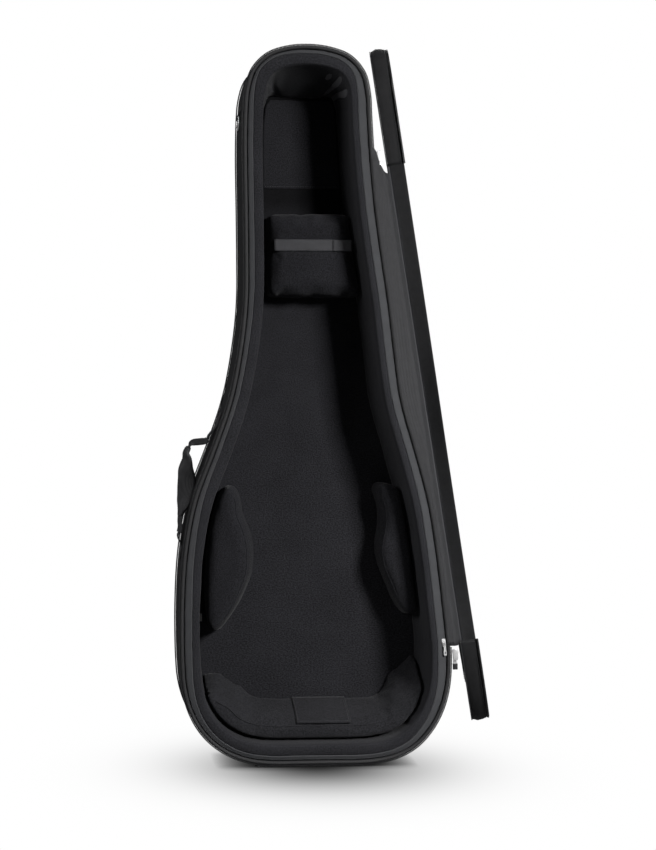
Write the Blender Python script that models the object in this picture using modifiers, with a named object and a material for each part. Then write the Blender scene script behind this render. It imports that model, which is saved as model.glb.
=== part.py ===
"""Semi-rigid bass guitar case, standing upright with its lid swung open.

Units are metres, +Z up, the open front faces -Y. The origin is the middle of the
underside of the foot. Every driving size is a named value below; pieces are seated
from those values and a named clearance.
"""
import math

import bmesh
import bpy
from mathutils import Matrix, Vector

# Overall sizes
GAP = 0.0004                 # clearance between neighbouring pieces
TUB_DEPTH = 0.115            # rim plane to back cover
LID_DEPTH = 0.032            # inner fold line to outer fold line of the lid wall
WALL = 0.034                 # rim: outside to the inner lining face
SIDE_DRAFT = 0.008           # how much thicker the wall is at the floor
HEAD_DRAFT = 0.030           # extra slope of the ceiling in the head
SAMPLES = 80                 # points round the case outline

RIM_Y = -TUB_DEPTH / 2
BACK_Y = TUB_DEPTH / 2
COVER = 0.002                # outer nylon
LINING = 0.002               # fleece
BACK_FOAM = 0.012
FLOOR_Y = BACK_Y - COVER - BACK_FOAM - LINING - 3 * GAP

# Outline seen from the front, (x, z), from the middle of the bottom, to the right
OUTLINE = [
    (0.0000, 0.0050), (0.0500, 0.0050), (0.0980, 0.0058), (0.1441, 0.0154),
    (0.1784, 0.0343), (0.2058, 0.0652), (0.2264, 0.1080), (0.2345, 0.1540),
    (0.2350, 0.2050), (0.2264, 0.2880), (0.2160, 0.3740), (0.2015, 0.4597),
    (0.1784, 0.5455), (0.1544, 0.6312), (0.1424, 0.7170), (0.1320, 0.8027),
    (0.1192, 0.8885), (0.1080, 0.9743), (0.1003, 1.0600), (0.0961, 1.1286),
    (0.0925, 1.1715), (0.0785, 1.2070), (0.0470, 1.2310), (0.0020, 1.2400),
    (-0.0320, 1.2400), (-0.0740, 1.2310), (-0.1060, 1.2040), (-0.1190, 1.1700),
    (-0.1232, 1.1286), (-0.1244, 1.0600), (-0.1232, 0.9743), (-0.1222, 0.8885),
    (-0.1228, 0.8027), (-0.1321, 0.7170), (-0.1492, 0.6312), (-0.1784, 0.5455),
    (-0.2100, 0.4597), (-0.2264, 0.3740), (-0.2324, 0.2880), (-0.2324, 0.1938),
    (-0.2270, 0.1290), (-0.2090, 0.0790), (-0.1790, 0.0420), (-0.1400, 0.0180),
    (-0.0960, 0.0066), (-0.0500, 0.0050),
]

# Double fold on the right side
FOLD_LOW = (0.2498, 0.1850)    # keeps the straight fold line outside the outline
FOLD_SLOPE = -0.1549
FOLD_BOTTOM_Z = 0.212
FOLD_TOP_Z = 1.018
STRIP_OPEN = 155.0           # degrees from closed to the pose of the photo
LID_OPEN = 101.5
WEB = 0.002
BEAD_R = 0.0016              # round hem on each fold line
INNER_FOLD_Y = RIM_Y + 0.004
OUTER_FOLD_Y = INNER_FOLD_Y - LID_DEPTH

ZIP_TOP_Z = 1.036
ZIP_BOTTOM_Z = 0.204
COIL_R = 0.0013
COIL_OUT = COIL_R + GAP
PIPING_R = 0.0012

FACING_IN = 0.0075
FACING_WIDE = 0.0150
FACING_LOW = 0.0074          # depth of its outer edge behind the rim plane
FACING_HIGH = 0.0008
HEAD_LINE_Z = 1.012
BLOCK_LOW_Z = 0.812
BLOCK_HIGH_Z = 0.958
BLOCK_FRONT_Y = RIM_Y + 0.048
BLOCK_SIDE_GAP = 0.0035
PAD_FRONT_Y = RIM_Y + 0.043
CUSHION_FRONT_Y = RIM_Y + 0.021
FOOT_HALF_X = 0.102
FOOT_TOP = 0.0045
ZIP_Y = RIM_Y + 0.0050       # the tub's half of the zip
FOOT_FRONT_Y = ZIP_Y + COIL_R + GAP
BACK_PIPING_Y = BACK_Y - PIPING_R - 0.0002
FOOT_BACK_Y = BACK_PIPING_Y - PIPING_R - GAP
FOOT_LIP_Y = BACK_Y + 0.0030       # thin lip of the foot, under the piping and out behind
FOOT_LIP_TOP = OUTLINE[0][1] - 2 * PIPING_R - 2 * GAP
FOAM_CUT_HIGH_Z = 1.06       # where the wall padding is cut into four lengths
FOAM_CUT_LOW_Z = 0.24

HANDLE_LOW_Z = 0.398
HANDLE_HIGH_Z = 0.560
HANDLE_OUT = 0.0315
GRIP_T = 0.0105
STRAP_W = 0.062
STRAP_T = 0.010
WEBBING_W = 0.025
WEBBING_T = 0.0022
POCKET_T = 0.0030
POCKET_EDGE = 0.0010
LID_COVER = 0.0012
LID_FOAM = 0.0030
LID_LINING = 0.0010
LID_WALL = 0.0016
POCKET_LOW_Z = 0.100
POCKET_HIGH_Z = 0.520
RING_Z = 1.124


# Scene and materials
def clear_scene():
    """Empties the scene and makes the two collections."""
    for obj in list(bpy.data.objects):
        bpy.data.objects.remove(obj, do_unlink=True)
    made = []
    for name in ("bass_guitar_case", "construction_guides"):
        coll = bpy.data.collections.new(name)
        bpy.context.scene.collection.children.link(coll)
        made.append(coll)
    return made


CASE, GUIDES = clear_scene()

FINISHES = {
    "nylon": ((0.012, 0.012, 0.013), 0.75, 0.0),
    "fleece": ((0.016, 0.016, 0.018), 0.95, 0.0),
    "foam": ((0.030, 0.030, 0.032), 0.95, 0.0),
    "tape": ((0.060, 0.060, 0.064), 0.70, 0.0),
    "webbing": ((0.025, 0.025, 0.027), 0.70, 0.0),
    "coil": ((0.010, 0.010, 0.011), 0.45, 0.0),
    "rubber": ((0.015, 0.015, 0.015), 0.60, 0.0),
    "plastic": ((0.014, 0.014, 0.015), 0.35, 0.0),
    "metal": ((0.780, 0.790, 0.800), 0.20, 1.0),
}


def finish_for(node, finish):
    """One Principled material per piece."""
    rgb, rough, metal = FINISHES[finish]
    mat = bpy.data.materials.new(node + "_" + finish)
    mat.use_nodes = True
    shader = mat.node_tree.nodes["Principled BSDF"]
    shader.inputs["Base Color"].default_value = (*rgb, 1.0)
    shader.inputs["Roughness"].default_value = rough
    shader.inputs["Metallic"].default_value = metal
    mat.diffuse_color = (*[min(1.0, c * 6 + 0.08) for c in rgb], 1.0)
    return mat


def tidy(mesh):
    """Merges doubled points and turns every face outwards."""
    bm = bmesh.new()
    bm.from_mesh(mesh)
    bmesh.ops.remove_doubles(bm, verts=bm.verts, dist=1e-6)
    bmesh.ops.dissolve_degenerate(bm, edges=bm.edges, dist=1e-6)
    bmesh.ops.recalc_face_normals(bm, faces=bm.faces)
    if bm.calc_volume(signed=True) < 0:
        bmesh.ops.reverse_faces(bm, faces=bm.faces)
    bm.to_mesh(mesh)
    bm.free()


def keep(name, mesh, finish, pose=None, pivot=(0.0, 0.0, 0.0)):
    """Adds a finished piece: posed, with its origin on its joint axis."""
    if pose is not None:
        mesh.transform(pose)
    mesh.transform(Matrix.Translation(-Vector(pivot)))
    tidy(mesh)
    mesh.name = name
    mesh.materials.clear()
    mesh.materials.append(finish_for(name, finish))
    obj = bpy.data.objects.new(name, mesh)
    obj.location = pivot
    CASE.objects.link(obj)
    return obj


def bevel(obj, width, segments=2, angle=40):
    """Rounds the sharp edges of a piece."""
    mod = obj.modifiers.new("rounded edges", "BEVEL")
    mod.width = width
    mod.segments = segments
    mod.limit_method = "ANGLE"
    mod.angle_limit = math.radians(angle)
    mod.use_clamp_overlap = True
    return obj


# Outline
def smooth_loop(points, count):
    """Even samples of a closed smooth curve through the points."""
    fine = []
    n = len(points)
    for i in range(n):
        p0, p1, p2, p3 = (Vector(points[(i + k - 1) % n]) for k in range(4))
        for step in range(16):
            t = step / 16
            fine.append(0.5 * (2 * p1 + (p2 - p0) * t
                               + (2 * p0 - 5 * p1 + 4 * p2 - p3) * t * t
                               + (3 * p1 - p0 - 3 * p2 + p3) * t ** 3))
    lengths = [0.0]
    for a, b in zip(fine, fine[1:] + fine[:1]):
        lengths.append(lengths[-1] + (b - a).length)
    out = []
    k = 0
    for i in range(count):
        target = lengths[-1] * i / count
        while lengths[k + 1] < target:
            k += 1
        share = (target - lengths[k]) / (lengths[k + 1] - lengths[k])
        out.append(fine[k].lerp(fine[(k + 1) % len(fine)], share))
    return out


def outward(points):
    """Outward unit normals of a closed loop that runs anticlockwise."""
    n = len(points)
    out = []
    for i in range(n):
        along = (points[(i + 1) % n] - points[i - 1]).normalized()
        out.append(Vector((along.y, -along.x)))
    return out


EDGE = smooth_loop(OUTLINE, SAMPLES)
NORMAL = outward(EDGE)
DRAFT = []
for edge_point, edge_normal in zip(EDGE, NORMAL):
    head = max(0.0, edge_normal.y) ** 1.5 if edge_point.y > 1.0 else 0.0
    DRAFT.append(SIDE_DRAFT + HEAD_DRAFT * head)


def ring_point(place, inset, y, draft=0.0):
    """Point of the outline moved inwards, at depth y; place may lie between samples."""
    low = math.floor(place)
    ends = []
    for i in (low % SAMPLES, (low + 1) % SAMPLES):
        p = EDGE[i] - NORMAL[i] * (inset + draft * DRAFT[i])
        ends.append(Vector((p.x, y, p.y)))
    return ends[0].lerp(ends[1], place - low)


def sample_at(side, z):
    """Index of the outline sample nearest a height on one side."""
    choices = [i for i in range(SAMPLES) if (EDGE[i].x > 0) == (side > 0)]
    return min(choices, key=lambda i: abs(EDGE[i].y - z))


def place_at(side, z):
    """Place on the outline, between samples, at a height on one side."""
    for i in range(SAMPLES):
        a, b = EDGE[i], EDGE[(i + 1) % SAMPLES]
        if (a.x > 0) == (side > 0) and abs(a.x) > 0.08 and (a.y - z) * (b.y - z) <= 0:
            return i + (z - a.y) / (b.y - a.y)
    return None


def run_places(first, last):
    """The two ends and every sample between them."""
    inner = range(math.floor(first) + 1, math.ceil(last))
    return [first] + [i for i in inner if i - first > 0.05 and last - i > 0.05] + [last]


def edge_x(side, z, inset=0.0):
    """Distance from the middle to the outline at a height, moved inwards."""
    best = None
    for i in range(SAMPLES):
        a = ring_point(i, inset, 0.0)
        b = ring_point(i + 1, inset, 0.0)
        if (a.z - z) * (b.z - z) > 0 or a.z == b.z:
            continue
        x = a.x + (b.x - a.x) * (z - a.z) / (b.z - a.z)
        if best is None or x * side > best * side:
            best = x
    return best


# Solids
def loft(name, rows, closed_along=False, cap_first=True, cap_last=True):
    """Closed body through rows of points of one length."""
    bm = bmesh.new()
    verts = [[bm.verts.new(p) for p in row] for row in rows]
    count = len(rows[0])
    steps = len(rows) if closed_along else len(rows) - 1
    for r in range(steps):
        low, high = verts[r], verts[(r + 1) % len(rows)]
        for c in range(count):
            d = (c + 1) % count
            bm.faces.new((low[c], low[d], high[d], high[c]))
    if not closed_along and cap_first:
        bm.faces.new(verts[0][::-1])
    if not closed_along and cap_last:
        bm.faces.new(verts[-1])
    mesh = bpy.data.meshes.new(name)
    bm.to_mesh(mesh)
    bm.free()
    return mesh


def round_ring(name, profile):
    """Profile of (inset, y, draft) carried all the way round the outline."""
    rows = [[ring_point(i, *p) for p in profile] for i in range(SAMPLES)]
    return loft(name, rows, closed_along=True)


def open_run(name, profile, first, last):
    """Profile carried along part of the outline, with ends closed."""
    rows = [[ring_point(i, *p) for p in profile] for i in run_places(first, last)]
    return loft(name, rows)


def slab(name, loops, y0, y1, round_edge=0.0):
    """Flat piece seen from the front: an outer loop, then any holes."""
    curve = bpy.data.curves.new(name, "CURVE")
    curve.dimensions = "2D"
    curve.fill_mode = "BOTH"
    curve.extrude = abs(y1 - y0) / 2 - round_edge
    curve.bevel_depth = round_edge
    curve.bevel_resolution = 1
    curve.offset = -round_edge
    for loop in loops:
        spline = curve.splines.new("POLY")
        spline.points.add(len(loop) - 1)
        for point, (x, z) in zip(spline.points, loop):
            point.co = (x, z, 0.0, 1.0)
        spline.use_cyclic_u = True
    guide = bpy.data.objects.new(name + "_outline", curve)
    GUIDES.objects.link(guide)
    bpy.context.view_layer.update()
    mesh = bpy.data.meshes.new_from_object(guide.evaluated_get(
        bpy.context.evaluated_depsgraph_get()))
    bpy.data.objects.remove(guide, do_unlink=True)
    stand = Matrix.Rotation(math.radians(90), 4, "X")
    mesh.transform(Matrix.Translation((0.0, (y0 + y1) / 2, 0.0)) @ stand)
    return mesh


def outline_loop(inset):
    """The whole outline moved inwards, as (x, z)."""
    return [(p.x, p.z) for p in (ring_point(i, inset, 0.0) for i in range(SAMPLES))]


def box_mesh(size, centre=(0.0, 0.0, 0.0)):
    """Plain box."""
    bm = bmesh.new()
    bmesh.ops.create_cube(bm, size=1.0)
    for v in bm.verts:
        v.co = Vector(v.co[k] * size[k] + centre[k] for k in range(3))
    mesh = bpy.data.meshes.new("box")
    bm.to_mesh(mesh)
    bm.free()
    return mesh


def rod(name, points, radius, sides=6, cyclic=False, flat=(0.0, 1.0, 0.0)):
    """Round cord or tube through the points."""
    count = len(points)
    rows = []
    for i, p in enumerate(points):
        if cyclic:
            along = points[(i + 1) % count] - points[i - 1]
        else:
            along = points[min(i + 1, count - 1)] - points[max(i - 1, 0)]
        along.normalize()
        across = along.cross(Vector(flat)).normalized()
        other = along.cross(across)
        row = []
        for k in range(sides):
            turn = 2 * math.pi * (k + 0.5) / sides
            row.append(p + (across * math.cos(turn) + other * math.sin(turn)) * radius)
        rows.append(row)
    return loft(name, rows, closed_along=cyclic)


def ribbon(name, points, widths, thick, across, soft=0.0):
    """Flat strap along the points; across is the direction of its width."""
    count = len(points)
    turns = across if isinstance(across, list) else [across] * count
    rows = []
    for i, p in enumerate(points):
        along = (points[min(i + 1, count - 1)] - points[max(i - 1, 0)]).normalized()
        up = along.cross(Vector(turns[i])).normalized()
        side = up.cross(along).normalized()
        w = (widths[i] if isinstance(widths, (list, tuple)) else widths) / 2
        t = thick / 2
        if soft:
            corners = [(-w, -t + soft), (-w + soft, -t), (w - soft, -t), (w, -t + soft),
                       (w, t - soft), (w - soft, t), (-w + soft, t), (-w, t - soft)]
        else:
            corners = [(-w, -t), (w, -t), (w, t), (-w, t)]
        rows.append([p + side * a + up * b for a, b in corners])
    return loft(name, rows)


def joined(name, solids):
    """One closed body from several that run into each other."""
    first = bpy.data.objects.new(name, solids[0])
    GUIDES.objects.link(first)
    others = []
    for solid in solids[1:]:
        other = bpy.data.objects.new(name + "_part", solid)
        other.display_type = "WIRE"
        other.hide_render = True
        GUIDES.objects.link(other)
        others.append(other)
        mod = first.modifiers.new("join", "BOOLEAN")
        mod.operation = "UNION"
        mod.solver = "EXACT"
        mod.object = other
    bpy.context.view_layer.update()
    mesh = bpy.data.meshes.new_from_object(first.evaluated_get(
        bpy.context.evaluated_depsgraph_get()))
    for obj in [first] + others:
        bpy.data.objects.remove(obj, do_unlink=True)
    return mesh


# Double fold: axes and the poses of the strip and the lid
def fold_x(z):
    """Where the straight fold line lies at a height, in the closed case."""
    return FOLD_LOW[0] + FOLD_SLOPE * (z - FOLD_LOW[1])


FOLD_AXIS = Vector((FOLD_SLOPE, 0.0, 1.0)).normalized()
FOLD_MID_Z = (FOLD_BOTTOM_Z + FOLD_TOP_Z) / 2
INNER_PIVOT = Vector((fold_x(FOLD_MID_Z), INNER_FOLD_Y, FOLD_MID_Z))
OUTER_CLOSED = Vector((fold_x(FOLD_MID_Z), OUTER_FOLD_Y, FOLD_MID_Z))


def turn_about(point, axis, degrees):
    """Rotation about a line."""
    move = Matrix.Translation(point)
    return move @ Matrix.Rotation(math.radians(degrees), 4, axis) @ move.inverted()


STRIP_POSE = turn_about(INNER_PIVOT, FOLD_AXIS, STRIP_OPEN)
LID_POSE = STRIP_POSE @ turn_about(OUTER_CLOSED, FOLD_AXIS, LID_OPEN)
OUTER_PIVOT = STRIP_POSE @ OUTER_CLOSED

ZIP_FIRST = place_at(1, ZIP_TOP_Z)
ZIP_LAST = place_at(1, ZIP_BOTTOM_Z) + SAMPLES


# Tub
def build_tub():
    """Cover, padding, lining and rim of the deep half."""
    cover_front = RIM_Y + 0.0105
    side = [(0.0, cover_front), (COVER, cover_front), (COVER, BACK_Y - COVER - GAP),
            (0.0, BACK_Y - COVER - GAP)]
    keep("tub_side_cover", round_ring("side", side), "nylon")
    keep("tub_back_cover", slab("back", [outline_loop(0.0)], BACK_Y - COVER, BACK_Y), "nylon")
    pipe = [ring_point(i, -PIPING_R - GAP, BACK_PIPING_Y) for i in range(SAMPLES)]
    keep("tub_back_piping", rod("pipe", pipe, PIPING_R, 6, True), "nylon")
    foam_out = COVER + GAP
    foam_in = WALL - LINING - GAP
    back_y0 = BACK_Y - COVER - GAP - BACK_FOAM
    wall = [(foam_out, RIM_Y + 0.0110, 0), (0.0095, RIM_Y + 0.0100, 0),
            (0.0225, RIM_Y + 0.0045, 0), (0.0285, RIM_Y + 0.0039, 0),
            (0.0305, RIM_Y + 0.0066, 0), (foam_in, RIM_Y + 0.0120, 0),
            (foam_in, back_y0 - GAP, 1), (foam_out, back_y0 - GAP, 0)]
    low_right, high_right = sample_at(1, FOAM_CUT_LOW_Z), sample_at(1, FOAM_CUT_HIGH_Z)
    low_left, high_left = sample_at(-1, FOAM_CUT_LOW_Z), sample_at(-1, FOAM_CUT_HIGH_Z)
    cuts = [low_right, high_right, high_left, low_left, low_right + SAMPLES]
    names = ["tub_foam_right", "tub_foam_head", "tub_foam_left", "tub_foam_base"]
    for name, first, last in zip(names, cuts, cuts[1:]):
        obj = keep(name, open_run(name, wall, first, last), "foam")
        trim_ends(obj)
    keep("tub_back_foam", slab("back_foam", [outline_loop(foam_out)], back_y0,
                               back_y0 + BACK_FOAM), "foam")
    t = LINING
    front = [(WALL + 0.0, FLOOR_Y, 1), (WALL, RIM_Y + 0.0110, 0.0), (0.0325, RIM_Y + 0.0048, 0),
             (0.0298, RIM_Y + 0.0016, 0), (0.0232, RIM_Y + 0.0016, 0)]
    rear = [(0.0232, RIM_Y + 0.0036, 0), (0.0289, RIM_Y + 0.0034, 0),
            (0.0309, RIM_Y + 0.0060, 0), (WALL - t, RIM_Y + 0.0118, 0.0),
            (WALL - t, FLOOR_Y + t, 1)]
    rows = [[ring_point(i, *p) for i in range(SAMPLES)] for p in front + rear]
    keep("tub_lining", loft("lining", rows), "fleece")
    binding = [(0.0, RIM_Y + 0.0040), (0.0064, RIM_Y + 0.0040), (0.0064, RIM_Y + 0.0060),
               (COVER, RIM_Y + 0.0100), (0.0, RIM_Y + 0.0100)]
    keep("rim_binding", round_ring("binding", binding), "tape")
    facing = [(FACING_IN, RIM_Y + FACING_LOW), (FACING_IN + FACING_WIDE, RIM_Y + FACING_HIGH),
              (0.0228, RIM_Y + 0.0026), (0.0094, RIM_Y + 0.0092), (FACING_IN, RIM_Y + 0.0092)]
    keep("rim_facing_tape", round_ring("facing", facing), "tape")
    coil = [ring_point(i, -COIL_OUT, ZIP_Y)
            for i in run_places(ZIP_FIRST, ZIP_LAST)]
    keep("tub_zip_coil", rod("coil", coil, COIL_R), "coil")
    side = [(FOOT_FRONT_Y, 0.0), (FOOT_LIP_Y, 0.0), (FOOT_LIP_Y, FOOT_LIP_TOP),
            (FOOT_BACK_Y, FOOT_LIP_TOP), (FOOT_BACK_Y, FOOT_TOP), (FOOT_FRONT_Y, FOOT_TOP)]
    rows = [[Vector((x, y, z)) for y, z in side] for x in (-FOOT_HALF_X, FOOT_HALF_X)]
    keep("base_foot", loft("foot", rows), "rubber")


def trim_ends(obj):
    """Draws both ends of a run back by half a clearance."""
    mesh = obj.data
    count = 8
    rows = len(mesh.vertices) // count
    for end, nxt in ((0, 1), (rows - 1, rows - 2)):
        for c in range(count):
            a = mesh.vertices[end * count + c]
            b = mesh.vertices[nxt * count + c]
            a.co += (b.co - a.co).normalized() * GAP


# Hinge webs
def fold_web(side_gap, z_low, z_high, first_y):
    """Web between the curved edge and the straight fold line."""
    inner = [(edge_x(1, z_low, -side_gap), z_low)]
    for i in range(sample_at(1, z_low), sample_at(1, z_high) + 1):
        p = ring_point(i, -side_gap, 0.0)
        if z_low + 0.001 < p.z < z_high - 0.001:
            inner.append((p.x, p.z))
    inner.append((edge_x(1, z_high, -side_gap), z_high))
    reach = (BEAD_R + GAP) / FOLD_AXIS.z
    outer = [(fold_x(z_high) - reach, z_high), (fold_x(z_low) - reach, z_low)]
    return slab("web", [inner[::-1] + outer[::-1]], first_y, first_y + WEB)


def build_fold():
    """Web on the tub, strip between the folds, web on the lid."""
    keep("hinge_web_tub", fold_web(GAP, FOLD_BOTTOM_Z - 0.006, FOLD_TOP_Z + 0.006,
                                   INNER_FOLD_Y - WEB / 2), "tape")
    side = Vector((FOLD_AXIS.z, 0.0, -FOLD_AXIS.x))
    half = WEB / 2
    neck = math.sqrt(BEAD_R ** 2 - half ** 2)
    bead = [(-half, neck), (-BEAD_R, 0.0), (-BEAD_R / 2, -0.87 * BEAD_R),
            (BEAD_R / 2, -0.87 * BEAD_R), (BEAD_R, 0.0), (half, neck)]
    section = [(n, INNER_FOLD_Y - y) for n, y in bead]
    section += [(-n, OUTER_FOLD_Y + y) for n, y in bead]
    rows = []
    for z in (FOLD_BOTTOM_Z, FOLD_TOP_Z):
        end = Vector((fold_x(z), 0.0, z))
        rows.append([end + side * n + Vector((0.0, y, 0.0)) for n, y in section])
    keep("hinge_strip", loft("strip", rows), "nylon", STRIP_POSE, INNER_PIVOT)
    keep("hinge_web_lid", fold_web(GAP, FOLD_BOTTOM_Z - 0.006, FOLD_TOP_Z + 0.006,
                                   OUTER_FOLD_Y - WEB / 2), "tape", LID_POSE, OUTER_PIVOT)


# Lid, built closed and then swung to the pose of the photo
def lid_part(name, mesh, finish):
    """Keeps a piece of the lid."""
    return keep(name, mesh, finish, LID_POSE, OUTER_PIVOT)


def build_lid():
    """Panel, wall, lining, zip half and pocket."""
    outer_y = OUTER_FOLD_Y - 0.0011
    cover_t = LID_COVER
    foam_y = outer_y + cover_t + GAP
    foam_t = LID_FOAM
    lid_part("lid_cover", slab("lid_cover", [outline_loop(0.0)], outer_y, outer_y + cover_t),
             "nylon")
    lid_part("lid_foam", slab("lid_foam", [outline_loop(LID_WALL + GAP)], foam_y, foam_y + foam_t),
             "foam")
    lining_y = foam_y + foam_t + GAP
    lid_part("lid_lining", slab("lid_lining", [outline_loop(LID_WALL + GAP)], lining_y,
                                lining_y + LID_LINING), "fleece")
    zip_y = RIM_Y + 0.0033
    wall = [(0.0, outer_y + cover_t + GAP, 0), (LID_WALL, outer_y + cover_t + GAP, 0),
            (LID_WALL, zip_y, 0), (0.0, zip_y, 0)]
    lid_part("lid_wall", open_run("lid_wall", wall, ZIP_FIRST, ZIP_LAST), "nylon")
    pipe = [ring_point(i, -PIPING_R - GAP, outer_y + 0.0010)
            for i in run_places(ZIP_FIRST, ZIP_LAST)]
    lid_part("lid_piping", rod("lid_piping", pipe, PIPING_R), "nylon")
    coil = [ring_point(i, -COIL_OUT, ZIP_Y - 2 * COIL_R - 0.0008)
            for i in run_places(ZIP_FIRST, ZIP_LAST)]
    lid_part("lid_zip_coil", rod("lid_coil", coil, COIL_R), "coil")
    wide = []
    for k in range(9):
        z = POCKET_LOW_Z + (POCKET_HIGH_Z - POCKET_LOW_Z) * k / 8
        wide.append((z, edge_x(-1, z) + 0.050, edge_x(1, z) - 0.055))
    loop = [(right, z) for z, left, right in wide]
    loop += [(left, z) for z, left, right in reversed(wide)]
    pocket_y = outer_y - GAP - POCKET_T
    lid_part("lid_pocket", slab("lid_pocket", [loop], pocket_y, outer_y - GAP, POCKET_EDGE),
             "nylon")
    z = POCKET_HIGH_Z - 0.035
    x0 = edge_x(-1, z) + 0.062
    x1 = edge_x(1, z) - 0.067
    run_y = pocket_y - GAP - 0.0008
    lid_part("pocket_zip_tape", box_mesh((x1 - x0, 0.0016, 0.026),
                                         ((x0 + x1) / 2, run_y, z)), "tape")
    coil_y = run_y - 0.0008 - GAP - COIL_R
    ends = [Vector((x0 + 0.006, coil_y, z)), Vector((x1 - 0.006, coil_y, z))]
    lid_part("pocket_zip_coil", rod("pocket_coil", ends, COIL_R), "coil")
    home = Vector((x0 + 0.020, coil_y - COIL_R - GAP, z))
    slider("pocket", home, Vector((-1.0, 0.0, 0.0)), Vector((0.0, -1.0, 0.0)), LID_POSE)


# Zip sliders: a plate, a bridge on it and a pull hanging in the bridge
def slider(name, home, along, out, pose=None, scale=1.0):
    """Slider and its pull; home is the middle of the underside, along is up."""
    across = along.cross(out)
    frame = Matrix((across, along, out)).transposed().to_4x4()
    frame.translation = home
    place = frame if pose is None else pose @ frame
    length, width, thick = 0.019 * scale, 0.0105 * scale, 0.0032 * scale
    rise = 0.0046 * scale
    plate = box_mesh((width, length, thick), (0.0, 0.0, thick / 2))
    foot = (0.0022 * scale, 0.0016 * scale, rise)
    feet = [box_mesh(foot, (0.0, s * 0.0042 * scale, thick + rise / 2 - 0.0004))
            for s in (-1, 1)]
    bar = box_mesh((0.0022 * scale, 0.0100 * scale, 0.0014 * scale),
                   (0.0, 0.0, thick + rise))
    mesh = joined(name + "_slider", [plate] + feet + [bar])
    keep(name + "_slider", mesh, "metal", place, place.translation)
    pin = 0.0007 * scale
    pin_height = thick + 0.0020 * scale
    half = 0.0033 * scale
    end = -0.0230 * scale
    outer = [(-half, pin), (-half, end * 0.4), (-half * 1.25, end), (half * 1.25, end),
             (half, end * 0.4), (half, pin)]
    hole = [(-half * 0.5, -pin), (half * 0.5, -pin), (half * 0.5, end * 0.33),
            (-half * 0.5, end * 0.33)]
    pull = slab(name + "_pull", [outer, hole], -pin, pin)
    pull.transform(Matrix.Rotation(math.radians(-90), 4, "X"))
    pull.transform(Matrix.Translation((0.0, 0.0, pin_height)))
    pin_at = place @ Vector((0.0, 0.0, pin_height))
    keep(name + "_pull", pull, "metal", place, pin_at)


def build_zip_sliders():
    """Two sliders parked at the ends of the zip, a small one on the rim."""
    for name, z in (("upper", ZIP_TOP_Z + 0.0150), ("lower", ZIP_BOTTOM_Z - 0.0130)):
        low = Vector((edge_x(1, z - 0.02), 0.0, z - 0.02))
        high = Vector((edge_x(1, z + 0.02), 0.0, z + 0.02))
        along = (high - low).normalized()
        x = edge_x(1, z) + 2 * COIL_R + 2 * GAP + 0.0056
        home = Vector((x, INNER_FOLD_Y - 0.0008, z))
        slider(name, home, along, Vector((0.0, 1.0, 0.0)))
    z = 0.2120
    low = Vector((edge_x(1, z - 0.02), 0.0, z - 0.02))
    high = Vector((edge_x(1, z + 0.02), 0.0, z + 0.02))
    along = (high - low).normalized()
    tilt = math.atan2(FACING_LOW - FACING_HIGH, FACING_WIDE)
    face = Vector((math.sin(tilt), -math.cos(tilt), 0.0))
    face = (face - along * face.dot(along)).normalized()
    inset = 0.0044
    home = Vector((edge_x(1, z, FACING_IN + inset),
                   RIM_Y + FACING_LOW - inset * math.tan(tilt), z)) + face * GAP
    slider("rim", home, along, face, None, 0.72)


# Loose loops and cushions
def loop_inset(points, distance):
    """Closed (x, z) loop moved inwards."""
    vecs = [Vector(p) for p in points]
    turn = sum(a.x * b.y - b.x * a.y for a, b in zip(vecs, vecs[1:] + vecs[:1]))
    sign = 1 if turn > 0 else -1
    out = []
    for i, p in enumerate(vecs):
        along = (vecs[(i + 1) % len(vecs)] - vecs[i - 1]).normalized()
        out.append((p.x - sign * along.y * distance, p.y + sign * along.x * distance))
    return out


def between_walls(points):
    """Keeps a loop clear of the lining on both sides."""
    out = []
    for p in points:
        low = edge_x(-1, p.y, WALL_CLEAR)
        high = edge_x(1, p.y, WALL_CLEAR)
        out.append((min(max(p.x, low), high), p.y))
    return out


def cushion(name, base, top, front_y, soft, finish="fleece", pivot=(0, 0, 0)):
    """Pad on the floor: base outline, top outline and a softened front edge."""
    base = between_walls(smooth_loop(base, 32))
    top = between_walls(smooth_loop(top, 32))
    rows = []
    for loop, inset, y in ((base, 0.0, FLOOR_Y - GAP), (top, 0.0, front_y + soft),
                           (top, soft * 0.35, front_y + soft * 0.3), (top, soft, front_y)):
        rows.append([Vector((x, y, z)) for x, z in loop_inset(loop, inset)])
    return keep(name, loft(name, rows), finish, None, pivot)


WALL_IN = WALL + SIDE_DRAFT + GAP      # clears the lining at the floor
WALL_CLEAR = WALL_IN + 0.0010

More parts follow.
